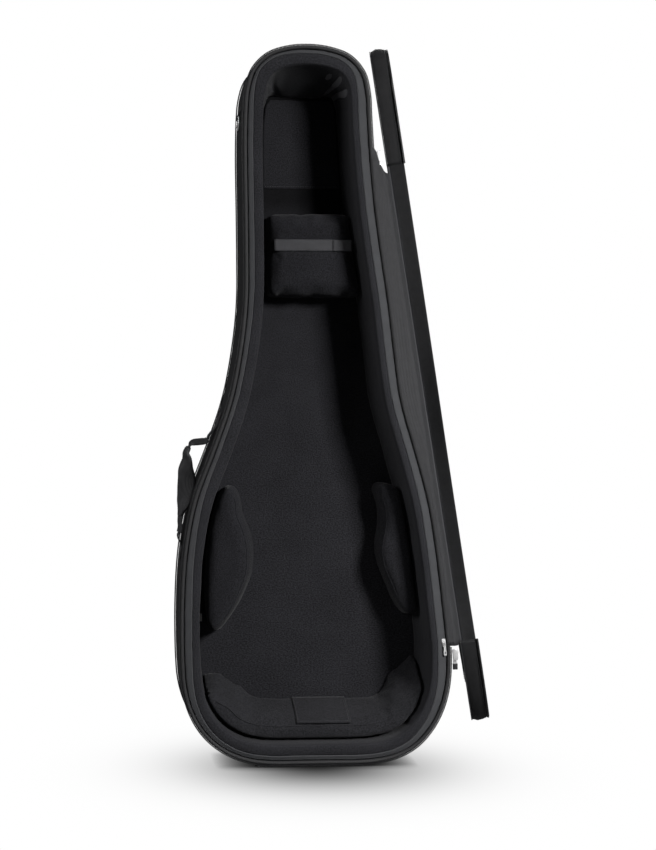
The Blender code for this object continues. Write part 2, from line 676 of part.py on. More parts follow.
def build_interior():
    """Head patch, neck cushion and strap, waist pads, end cushion and its flap."""
    patch = []
    first, last = place_at(1, HEAD_LINE_Z), place_at(-1, HEAD_LINE_Z)
    for i in run_places(first, last):
        p = ring_point(i, WALL + 0.0030, 0.0, 1.0)
        patch.append((p.x, HEAD_LINE_Z if i in (first, last) else p.z))
    keep("head_patch", slab("patch", [patch], FLOOR_Y - GAP - 0.0012, FLOOR_Y - GAP), "tape")

    def block_loop(extra, lift):
        low, high = BLOCK_LOW_Z + lift, BLOCK_HIGH_Z - lift
        gap = WALL_IN + BLOCK_SIDE_GAP - extra
        steps = (0.0, 0.06, 0.25, 0.5, 0.75, 0.94, 1.0)
        right = [(edge_x(1, low + (high - low) * t, gap) - (0.006 if t in (0, 1) else 0.0),
                  low + (high - low) * t) for t in steps]
        left = [(edge_x(-1, low + (high - low) * t, gap) + (0.006 if t in (0, 1) else 0.0),
                 low + (high - low) * t) for t in reversed(steps)]
        return right + [(0.0, high)] + left + [(0.0, low)]

    pivot = (0.0, BLOCK_FRONT_Y, (BLOCK_LOW_Z + BLOCK_HIGH_Z) / 2)
    cushion("neck_block", block_loop(0.0, 0.0), block_loop(0.003, 0.002), BLOCK_FRONT_Y,
            0.010, "fleece", pivot)
    z = 0.895
    y = BLOCK_FRONT_Y - GAP - 0.0008
    left = edge_x(-1, z) + WALL_IN + 0.014
    right = edge_x(1, z) - WALL_IN - 0.010
    lap = right - 0.034
    band = [Vector((left, y, z)), Vector((lap - 0.0006, y, z - 0.001))]
    keep("neck_strap", ribbon("neck_strap", band, 0.021, 0.0016, (0, 0, 1)), "webbing",
         None, pivot)
    tab = [Vector((lap, y, z - 0.001)), Vector((right, y, z - 0.001))]
    keep("neck_strap_end", ribbon("strap_end", tab, 0.021, 0.0016, (0, 0, 1)), "webbing",
         None, pivot)

    wall = WALL_IN + 0.0006
    left_free = [(-0.1580, 0.4840), (-0.1470, 0.4640), (-0.1330, 0.4330), (-0.1180, 0.3930),
                 (-0.1080, 0.3440), (-0.1160, 0.2960), (-0.1370, 0.2530), (-0.1640, 0.2200),
                 (-0.1780, 0.2150)]
    left_wall = [(edge_x(-1, z, wall), z)
                 for z in (0.2260, 0.2600, 0.3100, 0.3600, 0.4100, 0.4450, 0.4720)]
    base = left_free + left_wall
    top = [(x - 0.004, z) for x, z in left_free] + left_wall
    cushion("waist_pad_left", base, top, PAD_FRONT_Y, 0.004)
    right_free = [(0.1290, 0.4850), (0.1080, 0.4640), (0.1130, 0.4350), (0.1180, 0.4050),
                  (0.1160, 0.3720), (0.1220, 0.3340), (0.1410, 0.2950), (0.1650, 0.2640)]
    right_wall = [(edge_x(1, z, wall + 0.003), z)
                  for z in (0.2800, 0.3300, 0.3800, 0.4300, 0.4680)]
    base = right_free + right_wall
    top = [(x + 0.007, z) for x, z in right_free] + right_wall
    cushion("waist_pad_right", base, top, PAD_FRONT_Y, 0.006)

    first, last = place_at(-1, 0.138), place_at(1, 0.196) + SAMPLES
    rows = []
    for i in run_places(first, last):
        share = (i - first) / (last - first)
        swell = min(1.0, 0.25 + 2.4 * min(share, 1.0 - share))
        deep, slim = 0.054 * swell, 0.022 * swell
        wall_front = WALL + 0.35 * SIDE_DRAFT + GAP
        section = [(wall_front, CUSHION_FRONT_Y), (WALL_IN + 0.0004, FLOOR_Y - GAP),
                   (WALL_IN + deep, FLOOR_Y - GAP),
                   (wall_front + slim, CUSHION_FRONT_Y + 0.003),
                   (wall_front + slim * 0.8, CUSHION_FRONT_Y)]
        rows.append([ring_point(i, *p) for p in section])
    keep("end_cushion", loft("end_cushion", rows), "fleece")
    bottom = OUTLINE[0][1]
    back_edge = Vector((0.0, FLOOR_Y - GAP, bottom + WALL_IN + 0.054))
    front_edge = Vector((0.0, CUSHION_FRONT_Y + 0.003,
                         bottom + WALL + 0.35 * SIDE_DRAFT + GAP + 0.022))
    slope = (front_edge - back_edge).normalized()
    lift = slope.cross(Vector((-1.0, 0.0, 0.0))).normalized() * (0.0010 + GAP)
    if lift.z < 0:
        lift = -lift
    start = back_edge + slope * 0.0040 + lift
    flap = [start, front_edge - slope * 0.004 + lift]
    keep("end_flap", ribbon("flap", flap, 0.096, 0.0020, (1, 0, 0)), "tape", None, start)


# Outside: handle, loop, shoulder straps
def build_handle():
    """Carry handle on the left side, turning about the line of its anchors."""
    low = Vector((edge_x(-1, HANDLE_LOW_Z), 0.0, HANDLE_LOW_Z))
    high = Vector((edge_x(-1, HANDLE_HIGH_Z), 0.0, HANDLE_HIGH_Z))
    along = (high - low).normalized()
    out = Vector((-along.z, 0.0, along.x))
    bulge = max((ring_point(i, 0.0, 0.0) - low).dot(out) for i in range(SAMPLES)
                if HANDLE_LOW_Z - 0.03 < EDGE[i].y < HANDLE_HIGH_Z + 0.03 and EDGE[i].x < 0)
    base = low + out * (bulge + 0.0022 + GAP)
    span = (high - low).length
    pivot = base + along * (span / 2)

    def at(t, rise):
        return base + along * (span * t) + out * rise

    top = [at(1.0, 0.0), at(0.975, 0.0010), at(0.940, 0.0130), at(0.905, 0.0260),
           at(0.880, HANDLE_OUT - 0.0004), at(0.8477, HANDLE_OUT + 0.0004)]
    tail = [at(0.0, 0.0), at(0.03, 0.0004), at(0.08, 0.0026), at(0.1727, 0.0055)]
    depth = (0.0, 1.0, 0.0)
    keep("handle_webbing_top", ribbon("top", top, WEBBING_W, WEBBING_T, depth), "webbing",
         None, pivot)
    keep("handle_webbing_low", ribbon("low", tail, WEBBING_W, WEBBING_T, depth), "webbing",
         None, pivot)
    grip = [at(0.845, HANDLE_OUT + 0.0006), at(0.80, HANDLE_OUT), at(0.70, HANDLE_OUT - 0.005),
            at(0.58, HANDLE_OUT - 0.011), at(0.46, HANDLE_OUT - 0.017),
            at(0.34, HANDLE_OUT - 0.0215), at(0.24, HANDLE_OUT - 0.0253), at(0.175, 0.0056)]
    widths = [0.028, 0.035, 0.038, 0.038, 0.038, 0.036, 0.032, 0.028]
    twists = [0, 14, 26, 28, 22, 12, 4, 0]
    sides = [(-math.sin(math.radians(w)), math.cos(math.radians(w)), 0.0) for w in twists]
    keep("handle_grip", ribbon("grip", grip, widths, GRIP_T, sides, 0.004), "webbing",
         None, pivot)
    for name, t, step in (("handle_anchor_top", 1.0, 1), ("handle_anchor_low", 0.0, -1)):
        z = at(t, 0.0).z
        run = []
        for far in (0.046, 0.034, 0.022):
            edge = Vector((edge_x(-1, z + step * far), 0.0, z + step * far))
            next_edge = Vector((edge_x(-1, z + step * far + 0.004), 0.0, z + step * far + 0.004))
            slope = (next_edge - edge).normalized()
            run.append(edge + Vector((-slope.z, 0.0, slope.x)) * (0.0012 + GAP))
        run.append(at(t + step * 0.045, 0.0))
        run.append(at(t + step * GAP / span, 0.0))
        keep(name, ribbon(name, run, 0.030, 0.0022, depth), "webbing")


def build_back():
    """Shoulder straps with adjusters, hang loop and side ring."""
    back = BACK_Y + GAP
    anchor = box_mesh((0.190, 0.0030, 0.036), (0.0, back + 0.0015, 0.952))
    bevel(keep("strap_yoke", anchor, "webbing"), 0.001, 1)
    for side, word in ((-1, "left"), (1, "right")):
        path = [Vector((side * 0.052, back + 0.0055, 0.931)),
                Vector((side * 0.058, back + 0.0130, 0.880)),
                Vector((side * 0.070, back + 0.0210, 0.790)),
                Vector((side * 0.086, back + 0.0230, 0.690)),
                Vector((side * 0.101, back + 0.0180, 0.590)),
                Vector((side * 0.110, back + 0.0090, 0.520)),
                Vector((side * 0.114, back + 0.0055, 0.484))]
        keep("shoulder_strap_" + word, ribbon("strap", path, STRAP_W, STRAP_T, (1, 0, 0), 0.003),
             "nylon")
        top = Vector((side * 0.1150, back + 0.0016, 0.4760))
        low = Vector((side * 0.1500, back + 0.0016, 0.2000))
        keep("strap_webbing_" + word, ribbon("webbing", [top, low], WEBBING_W, WEBBING_T,
                                             (1, 0, 0)), "webbing")
        along = (low - top).normalized()
        home = top.lerp(low, 0.22)
        tilt = Matrix.Rotation(math.atan2(-along.x, -along.z), 4, "Y")
        outer = [(-0.018, -0.014), (0.018, -0.014), (0.018, 0.014), (-0.018, 0.014)]
        holes = [[(-0.014, y - 0.0018), (0.014, y - 0.0018), (0.014, y + 0.0018),
                  (-0.014, y + 0.0018)] for y in (-0.0065, 0.0065)]
        frame = slab("buckle", [outer] + holes, 0.0, 0.0032)
        place = Matrix.Translation(home + Vector((0.0, WEBBING_T / 2 + GAP, 0.0))) @ tilt
        obj = keep("strap_adjuster_" + word, frame, "plastic", place, place.translation)
        bevel(obj, 0.0006, 1)
        patch = box_mesh((0.040, 0.0024, 0.030), (side * 0.1520, back + 0.0012, 0.1820))
        keep("strap_anchor_" + word, patch, "webbing")
    seat = back + 0.0024 + GAP + 0.0010
    loop = [Vector((-0.036, seat, 1.190)), Vector((-0.027, seat, 1.190)),
            Vector((-0.020, back + 0.0150, 1.190)), Vector((-0.008, back + 0.0200, 1.190)),
            Vector((0.008, back + 0.0200, 1.190)), Vector((0.020, back + 0.0150, 1.190)),
            Vector((0.027, seat, 1.190)), Vector((0.036, seat, 1.190))]
    keep("hang_loop", ribbon("hang_loop", loop, 0.020, 0.0020, (0, 0, 1)), "webbing")
    for side, word in ((-1, "left"), (1, "right")):
        patch = box_mesh((0.026, 0.0024, 0.024), (side * 0.038, back + 0.0012, 1.190))
        keep("hang_loop_end_" + word, patch, "webbing")


def build_ring():
    """Small ring held by a webbing tab on the upper left side."""
    z = RING_Z
    x = edge_x(-1, z) - GAP
    eye_r, hole_r = 0.0038, 0.0017
    eye_x = x - 0.0002 - eye_r
    turns = [2 * math.pi * k / 12 for k in range(12)]
    rim = [(eye_x + eye_r * math.cos(t), z + eye_r * math.sin(t)) for t in turns]
    hole = [(eye_x + hole_r * math.cos(t), z + hole_r * math.sin(t)) for t in turns]
    lean = edge_x(-1, z + 0.030) - GAP
    plate = [(x - 0.0001, z + 0.0010), (lean - 0.0001, z + 0.0300), (lean - 0.0024, z + 0.0300),
             (x - 0.0028, z + 0.0032)]
    eye = joined("eye", [slab("eye", [rim, hole], -0.009, 0.009),
                         slab("tab", [plate], -0.0088, 0.0088)])
    keep("ring_tab", eye, "webbing")
    pivot = Vector((eye_x, 0.0, z))
    loop = [(-0.0110, 0.0), (0.0110, 0.0), (0.0125, -0.0050), (0.0110, -0.0140),
            (0.0050, -0.0200), (-0.0050, -0.0200), (-0.0110, -0.0140), (-0.0125, -0.0050)]
    ring = [pivot + Vector((0.0, y, dz)) for y, dz in loop]
    keep("side_ring", rod("ring", ring, 0.0012, 6, True, (1.0, 0.0, 0.0)), "metal", None, pivot)


def main():
    """Builds every piece."""
    build_tub()
    build_fold()
    build_lid()
    build_zip_sliders()
    build_interior()
    build_handle()
    build_back()
    build_ring()


main()
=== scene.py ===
# %% [markdown]
# # A padded bass case, standing open
# The real thing is a soft-sided case: a deep tub with thick foam walls lined in brushed fleece, a
# light woven tape round the rim, a long zip, and a lid that folds right round behind it. Each piece
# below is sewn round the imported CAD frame, in metres, and rides on the CAD body that carries it.

import math

import bmesh
import bpy
import numpy as np
from mathutils import Matrix, Vector
from mathutils.bvhtree import BVHTree


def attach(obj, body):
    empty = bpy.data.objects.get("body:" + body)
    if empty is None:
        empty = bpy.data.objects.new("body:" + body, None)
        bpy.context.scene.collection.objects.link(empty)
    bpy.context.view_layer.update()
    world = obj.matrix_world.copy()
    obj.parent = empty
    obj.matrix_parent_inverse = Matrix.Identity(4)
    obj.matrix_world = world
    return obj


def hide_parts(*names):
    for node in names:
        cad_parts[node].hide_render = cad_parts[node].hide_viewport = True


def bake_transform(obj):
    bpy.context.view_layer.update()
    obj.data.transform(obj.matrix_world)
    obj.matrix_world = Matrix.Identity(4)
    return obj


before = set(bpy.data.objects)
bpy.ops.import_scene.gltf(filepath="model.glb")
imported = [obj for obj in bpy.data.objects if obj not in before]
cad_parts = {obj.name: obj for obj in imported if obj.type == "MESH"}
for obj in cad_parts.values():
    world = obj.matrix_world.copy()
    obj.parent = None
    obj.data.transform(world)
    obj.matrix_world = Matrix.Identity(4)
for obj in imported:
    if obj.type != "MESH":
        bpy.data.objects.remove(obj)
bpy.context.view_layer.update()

# %% [markdown]
# ## Camera and light
# The photograph was taken level, at about half the case's height, with the case to the right of the
# lens axis. The lens is shifted for most of that and the camera is turned a few degrees for the
# rest. One large lamp high on the right gives the shading inside the case, and the world fills.

# %% Camera
EYE = (-0.42, -2.5575, 0.64)
TURN_RIGHT = 3.3
camera_data = bpy.data.cameras.new("camera")
camera_data.lens = 62.2
camera_data.sensor_width = 36.0
camera_data.shift_x = 0.2032
camera_data.shift_y = -0.0354
camera = bpy.data.objects.new("camera", camera_data)
camera.location = EYE
camera.rotation_euler = (math.radians(90), 0.0, math.radians(-TURN_RIGHT))
bpy.context.scene.collection.objects.link(camera)
bpy.context.scene.camera = camera
bpy.context.scene.view_settings.view_transform = "Standard"


# %% Node helpers
def node(tree, kind, *inputs, **settings):
    """Adds a node; each input is a value or another node's output."""
    made = tree.nodes.new("ShaderNode" + kind)
    for key, value in settings.items():
        setattr(made, key, value)
    for socket, value in zip(made.inputs, inputs):
        if isinstance(value, bpy.types.NodeSocket):
            tree.links.new(value, socket)
        elif value is not None:
            socket.default_value = value
    return made


def calc(tree, operation, a, b=0.0, c=0.0):
    """One step of arithmetic."""
    return node(tree, "Math", a, b, c, operation=operation).outputs[0]


# %% Lamps and world
def lamp(name, place, target, size, power, spread=180):
    """Square area lamp at a place, turned to a target, its beam spread degrees wide."""
    data = bpy.data.lights.new(name, "AREA")
    data.size = size
    data.energy = power
    data.spread = math.radians(spread)
    obj = bpy.data.objects.new(name, data)
    obj.location = place
    obj.rotation_euler = (Vector(target) - Vector(place)).to_track_quat("-Z", "Y").to_euler()
    bpy.context.scene.collection.objects.link(obj)


lamp("key_lamp", (1.7, -2.13, 1.75), (0.1, 0.0, 0.2), 0.7, 27, 80)
lamp("top_lamp", (-0.4, -0.4, 3.4), (0.0, 0.0, 0.5), 1.8, 8)
lamp("left_lamp", (-2.9, -0.9, 1.75), (0.0, 0.0, 0.5), 1.2, 46)
lamp("back_lamp", (0.8, 2.6, 1.8), (0.0, 0.0, 0.6), 1.6, 18)

world = bpy.data.worlds.new("studio")
bpy.context.scene.world = world
world.use_nodes = True
sky = world.node_tree
sky.nodes.clear()
path = node(sky, "LightPath")
seen = calc(sky, "MAXIMUM", path.outputs["Is Camera Ray"], path.outputs["Is Transmission Ray"])
fill = node(sky, "Background", (0.93, 0.96, 1.0, 1.0), 0.04)
white = node(sky, "Background", (1.0, 1.0, 1.0, 1.0), 1.0)
either = node(sky, "MixShader", seen, fill.outputs[0], white.outputs[0])
node(sky, "OutputWorld", either.outputs[0])

# %% [markdown]
# ## The case outline
# Almost every piece follows the outline of the case, so it is drawn once, as points of a smooth
# closed curve. Every ring piece is this curve moved inwards and set at a depth.

# %% Outline and sizes
RIM_Y, BACK_Y = -0.0575, 0.0575
FLOOR_Y = 0.0403
WALL = 0.034
ZIP_HIGH_Z, ZIP_LOW_Z = 1.036, 0.204
GAP = 0.0004
KNOTS = 80                     # the frame's own samples round the outline
OUTLINE = [
    (0.0, 0.005), (0.05, 0.005), (0.098, 0.0058), (0.1441, 0.0154), (0.1784, 0.0343),
    (0.2058, 0.0652), (0.2264, 0.108), (0.2345, 0.154), (0.235, 0.205), (0.2264, 0.288),
    (0.216, 0.374), (0.2015, 0.4597), (0.1784, 0.5455), (0.1544, 0.6312), (0.1424, 0.717),
    (0.132, 0.8027), (0.1192, 0.8885), (0.108, 0.9743), (0.1003, 1.06), (0.0961, 1.1286),
    (0.0925, 1.1715), (0.0785, 1.207), (0.047, 1.231), (0.002, 1.24), (-0.032, 1.24),
    (-0.074, 1.231), (-0.106, 1.204), (-0.119, 1.17), (-0.1232, 1.1286), (-0.1244, 1.06),
    (-0.1232, 0.9743), (-0.1222, 0.8885), (-0.1228, 0.8027), (-0.1321, 0.717), (-0.1492, 0.6312),
    (-0.1784, 0.5455), (-0.21, 0.4597), (-0.2264, 0.374), (-0.2324, 0.288), (-0.2324, 0.1938),
    (-0.227, 0.129), (-0.209, 0.079), (-0.179, 0.042), (-0.14, 0.018), (-0.096, 0.0066),
    (-0.05, 0.005),
]


def unit(rows):
    """Rows of vectors, each made one long."""
    return rows / np.linalg.norm(rows, axis=1)[:, None]


def through(a, b, c, d, t):
    """Smooth curve through four points, between the middle two."""
    return 0.5 * (2 * b + (c - a) * t + (2 * a - 5 * b + 4 * c - d) * t ** 2
                  + (3 * b - a - 3 * c + d) * t ** 3)


def smooth_path(points, count, closed=False):
    """Even samples of a smooth curve through points of any dimension."""
    p = np.array(points, float)
    n = len(p)
    t = np.linspace(0, 1, 16, endpoint=False)[:, None]
    fine = []
    for i in range(n if closed else n - 1):
        near = range(i - 1, i + 3)
        fine.append(through(*p[[k % n if closed else min(max(k, 0), n - 1) for k in near]], t))
    fine = np.vstack(fine + [p[:1] if closed else p[-1:]])
    run = np.concatenate([[0.0], np.cumsum(np.linalg.norm(np.diff(fine, axis=0), axis=1))])
    goal = np.linspace(0, run[-1], count, endpoint=not closed)
    return np.stack([np.interp(goal, run, fine[:, k]) for k in range(p.shape[1])], axis=1)


EDGE = smooth_path(OUTLINE, KNOTS, True)
ahead = unit(np.roll(EDGE, -1, axis=0) - np.roll(EDGE, 1, axis=0))
NORMAL = np.stack([ahead[:, 1], -ahead[:, 0]], axis=1)
head_share = np.where(EDGE[:, 1] > 1.0, np.clip(NORMAL[:, 1], 0, 1) ** 1.5, 0.0)
DRAFT = 0.008 + 0.03 * head_share


def between_knots(values, places):
    """Smooth values of a closed list at places that may lie between its entries."""
    i = np.floor(places).astype(int)
    t = (places - i)[:, None]
    return through(*(values[(i + k - 1) % len(values)] for k in range(4)), t)


def edge_run(count=480, first=0.0, last=None):
    """Places round the outline, for a whole ring or for part of it."""
    if last is None:
        return np.arange(count) * KNOTS / count
    steps = max(2, int(round((last - first) / KNOTS * count)))
    return np.linspace(first, last, steps + 1)


def ring(places, inset, y, draft=0.0, push=0.0):
    """Row of points along the outline: moved inwards by inset, at depth y."""
    knots = EDGE - NORMAL * (inset + draft * DRAFT[:, None])
    flat = between_knots(knots, places) - between_knots(NORMAL, places) * np.reshape(push, (-1, 1))
    depth = np.broadcast_to(y, len(places))
    return np.stack([flat[:, 0], depth, flat[:, 1]], axis=1)


def edge_x(side, z, inset=0.0, draft=0.0):
    """Where the outline, moved inwards, crosses a height on one side."""
    p = EDGE - NORMAL * (inset + draft * DRAFT[:, None])
    q = np.roll(p, -1, axis=0)
    best = None
    for (ax, az), (bx, bz) in zip(p, q):
        if (az - z) * (bz - z) <= 0 and az != bz:
            x = ax + (bx - ax) * (z - az) / (bz - az)
            if best is None or x * side > best * side:
                best = x
    return best


def place_at(side, z):
    """Place on the outline, between knots, at a height on one side."""
    for i in range(KNOTS):
        a, b = EDGE[i], EDGE[(i + 1) % KNOTS]
        if (a[0] > 0) == (side > 0) and abs(a[0]) > 0.08 and (a[1] - z) * (b[1] - z) <= 0:
            return i + (z - a[1]) / (b[1] - a[1])


ZIP_FIRST = place_at(1, ZIP_HIGH_Z)
ZIP_LAST = place_at(1, ZIP_LOW_Z) + KNOTS

# %% [markdown]
# ## Sewing a piece
# Cloth is made as a sheet is pulled off a roll: the first row of points is drawn, then its edges are
# extruded row by row and each new row is moved to its place. The distance along and across is kept
# as a UV map in metres, so that the weave has its real size everywhere.


# %% Cloth from rows
def run_lengths(points):
    """Mean distance from the first entry to each, along the first axis of an array."""
    steps = np.linalg.norm(np.diff(points, axis=0), axis=-1)
    steps = steps.mean(axis=1) if steps.ndim > 1 else steps
    return np.concatenate([[0.0], np.cumsum(steps)])


def sew(rows, tube=False, ring_ends=False):
    """A mesh in progress through rows of points. A tube closes each row on itself and has its two
    ends closed, unless ring_ends joins the last row to the first."""
    rows = np.array(rows, float)
    if ring_ends:
        rows = np.concatenate([rows, rows[:1]])
    count = rows.shape[1]
    along = run_lengths(rows)
    wide = np.concatenate([rows, rows[:, :1]], axis=1) if tube else rows
    across = run_lengths(wide.transpose(1, 0, 2))
    bm = bmesh.new()
    seat = bm.verts.layers.int.new("seat")
    row = [bm.verts.new(p) for p in rows[0]]
    for c, v in enumerate(row):
        v[seat] = c
    edges = [bm.edges.new(pair) for pair in zip(row, row[1:] + (row[:1] if tube else []))]
    first_edges = list(edges)
    for r, points in enumerate(rows[1:], 1):
        made = bmesh.ops.extrude_edge_only(bm, edges=edges)["geom"]
        fresh = {e for e in made if isinstance(e, bmesh.types.BMVert)}
        row = [next(e.other_vert(v) for e in v.link_edges if e.other_vert(v) in fresh)
               for v in row]
        for c, (v, p) in enumerate(zip(row, points)):
            v.co = p
            v[seat] = r * count + c
        edges = [e for e in made if isinstance(e, bmesh.types.BMEdge)
                 and e.verts[0] in fresh and e.verts[1] in fresh]
    uv = bm.loops.layers.uv.new("cloth")
    for face in bm.faces:
        columns = [loop.vert[seat] % count for loop in face.loops]
        wraps = tube and max(columns) - min(columns) > 1
        for loop, c in zip(face.loops, columns):
            r = loop.vert[seat] // count
            loop[uv].uv = (across[count if wraps and c == 0 else c], along[r])
    if tube and not ring_ends:
        bmesh.ops.edgeloop_fill(bm, edges=first_edges)
        bmesh.ops.edgeloop_fill(bm, edges=edges)
    if ring_ends:
        bmesh.ops.remove_doubles(bm, verts=bm.verts, dist=1e-6)
    return bm


def close_up(bm):
    """Turns every face of a closed mesh outwards."""
    bmesh.ops.recalc_face_normals(bm, faces=bm.faces)
    if bm.calc_volume(signed=True) < 0:
        bmesh.ops.reverse_faces(bm, faces=bm.faces)
    return bm


def piece(name, bm, material, body, stands_for=(), pose=None, smooth=True):
    """Makes a mesh in progress a finished piece that rides on a CAD body."""
    if pose is not None:
        bmesh.ops.transform(bm, matrix=pose, verts=bm.verts)
    mesh = bpy.data.meshes.new(name)
    bm.to_mesh(mesh)
    bm.free()
    mesh.materials.append(material)
    if smooth:
        mesh.shade_smooth()
    obj = bpy.data.objects.new(name, mesh)
    bpy.context.scene.collection.objects.link(obj)
    if body is not None:
        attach(obj, body)
    if stands_for:
        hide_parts(*stands_for)
    return obj


def sharpen(obj, degrees=35):
    """Keeps the creases of a hard piece crisp while the rest stays smooth."""
    obj.data.set_sharp_from_angle(angle=math.radians(degrees))
    return obj


def soften(obj):
    """Subdivides a soft piece once it is shaped."""
    mod = obj.modifiers.new("soft", "SUBSURF")
    mod.levels = 1
    mod.render_levels = 1
    return obj


def ripple(points, size, seed):
    """Even, smooth unevenness from -1 to 1 at each point, about size metres from bump to bump."""
    rng = np.random.default_rng(seed)
    total = np.zeros(points.shape[:-1])
    for _ in range(7):
        way = rng.normal(size=3)
        way /= np.linalg.norm(way)
        wave = 2 * math.pi / (size * rng.uniform(0.7, 1.6))
        total += np.sin(points @ way * wave + rng.uniform(0, 2 * math.pi))
    return total / 4.5


# %% [markdown]
# ## Fabrics
# Up close the case is four cloths: a coarse square nylon weave outside, a brushed fleece inside, a
# ribbed woven tape and webbing. Each pattern is a node group that gives a height and a shade, and
# the materials set its colour and scale, so one weave serves every piece that is cut from it.


# %% Patterns
def pattern_group(name, label, size):
    """Empty group that takes a place and a size and gives a height and a shade."""
    tree = bpy.data.node_groups.new(name, "ShaderNodeTree")
    tree.interface.new_socket("Place", in_out="INPUT", socket_type="NodeSocketVector")
    socket = tree.interface.new_socket(label, in_out="INPUT", socket_type="NodeSocketFloat")
    socket.default_value = size
    for word in ("Height", "Shade"):
        tree.interface.new_socket(word, in_out="OUTPUT", socket_type="NodeSocketFloat")
    return tree, tree.nodes.new("NodeGroupInput"), tree.nodes.new("NodeGroupOutput")


def noise_at(tree, place, scale, detail=2.0, rough=0.5):
    """Noise from 0 to 1 at a place."""
    made = node(tree, "TexNoise", noise_dimensions="3D")
    tree.links.new(place, made.inputs["Vector"])
    made.inputs["Scale"].default_value = scale
    made.inputs["Detail"].default_value = detail
    made.inputs["Roughness"].default_value = rough
    return made.outputs["Fac"]


def ridges(tree, value):
    """Rounded ridges, one for each whole step of a value."""
    return calc(tree, "ABSOLUTE", calc(tree, "SINE", calc(tree, "MULTIPLY", value, math.pi)))


def blend_of(tree, a, share_a, b, share_b):
    """Sum of two values, each times its share."""
    return calc(tree, "ADD", calc(tree, "MULTIPLY", a, share_a), calc(tree, "MULTIPLY", b, share_b))


# %% Square weave
weave, taken, given = pattern_group("square_weave", "Yarns", 900.0)
spot = node(weave, "SeparateXYZ", taken.outputs["Place"])
warp, weft = (calc(weave, "MULTIPLY", spot.outputs[k], taken.outputs["Yarns"]) for k in (0, 1))
square = calc(weave, "ADD", calc(weave, "FLOOR", warp), calc(weave, "FLOOR", weft))
over = calc(weave, "MULTIPLY", calc(weave, "FRACT", calc(weave, "MULTIPLY", square, 0.5)), 2.0)
under = calc(weave, "SUBTRACT", 1.0, over)
height = blend_of(weave, ridges(weave, warp), over, ridges(weave, weft), under)
slub = noise_at(weave, taken.outputs["Place"], 90.0, 3.0)
weave.links.new(height, given.inputs["Height"])
weave.links.new(blend_of(weave, height, 0.35, slub, 0.65), given.inputs["Shade"])

# %% Brushed fleece
fleece, taken, given = pattern_group("brushed_fleece", "Fibres", 1.0)
fibre_place = node(fleece, "VectorMath", taken.outputs["Place"], operation="SCALE")
fleece.links.new(taken.outputs["Fibres"], fibre_place.inputs["Scale"])
fine = noise_at(fleece, fibre_place.outputs[0], 480.0, 4.0, 0.7)
speck = node(fleece, "MapRange", fine, 0.4, 0.6, 0.0, 1.0).outputs[0]
tuft = noise_at(fleece, fibre_place.outputs[0], 260.0, 2.0)
nap = noise_at(fleece, fibre_place.outputs[0], 14.0, 3.0)
fleece.links.new(blend_of(fleece, speck, 0.6, tuft, 0.4), given.inputs["Height"])
fleece.links.new(blend_of(fleece, speck, 0.6, nap, 0.4), given.inputs["Shade"])

# %% Ribbed tape and webbing
rib, taken, given = pattern_group("ribbed_tape", "Ribs", 700.0)
spot = node(rib, "SeparateXYZ", taken.outputs["Place"])
long_way, cross = (calc(rib, "MULTIPLY", spot.outputs[k], taken.outputs["Ribs"]) for k in (0, 1))
twill = ridges(rib, blend_of(rib, long_way, 0.5, cross, 0.5))
height = blend_of(rib, ridges(rib, cross), 0.7, twill, 0.3)
worn = noise_at(rib, taken.outputs["Place"], 60.0, 3.0)
rib.links.new(height, given.inputs["Height"])
rib.links.new(blend_of(rib, height, 0.4, worn, 0.6), given.inputs["Shade"])


# %% Cloth materials
def new_material(name):
    """Material with its tree, its shader and its coordinates."""
    mat = bpy.data.materials.new(name)
    mat.use_nodes = True
    tree = mat.node_tree
    return mat, tree, tree.nodes["Principled BSDF"], node(tree, "TexCoord")


def finish_surface(tree, factor, low, high, height, strength, depth, values):
    """Base colour between low and high, a bump, and the shader's plain values."""
    shader = tree.nodes["Principled BSDF"]
    tint = node(tree, "Mix", data_type="RGBA")
    tree.links.new(factor, tint.inputs["Factor"])
    for socket, value in zip([s for s in tint.inputs if s.type == "RGBA"], (low, high)):
        socket.default_value = (*value, 1.0)
    tree.links.new(next(s for s in tint.outputs if s.type == "RGBA"), shader.inputs["Base Color"])
    bump = node(tree, "Bump")
    bump.inputs["Strength"].default_value = strength
    bump.inputs["Distance"].default_value = depth
    tree.links.new(height, bump.inputs["Height"])
    tree.links.new(bump.outputs["Normal"], shader.inputs["Normal"])
    for label, value in values.items():
        shader.inputs[label].default_value = value


def cloth(name, group, size, colour, rough, depth, sheen=0.0, contrast=0.5, on_uv=True,
          specular=0.3):
    """A cloth: its pattern group, the pattern's size, colour and how deep the yarns are."""
    mat, tree, _, coords = new_material(name)
    pattern = node(tree, "Group", node_tree=group)
    tree.links.new(coords.outputs["UV" if on_uv else "Object"], pattern.inputs["Place"])
    pattern.inputs[1].default_value = size
    low, high = ([c * share for c in colour] for share in (1 - contrast, 1 + contrast))
    finish_surface(tree, pattern.outputs["Shade"], low, high, pattern.outputs["Height"], 0.6, depth,
                   {"Roughness": rough, "Sheen Weight": sheen, "Sheen Roughness": 0.45,
                    "Specular IOR Level": specular})
    return mat


def brushed(name, colour, depth=0.0006, contrast=0.75, on_uv=True):
    """A fleece."""
    return cloth(name, fleece, 1.0, colour, 0.95, depth, 0.05, contrast, on_uv, 0.12)


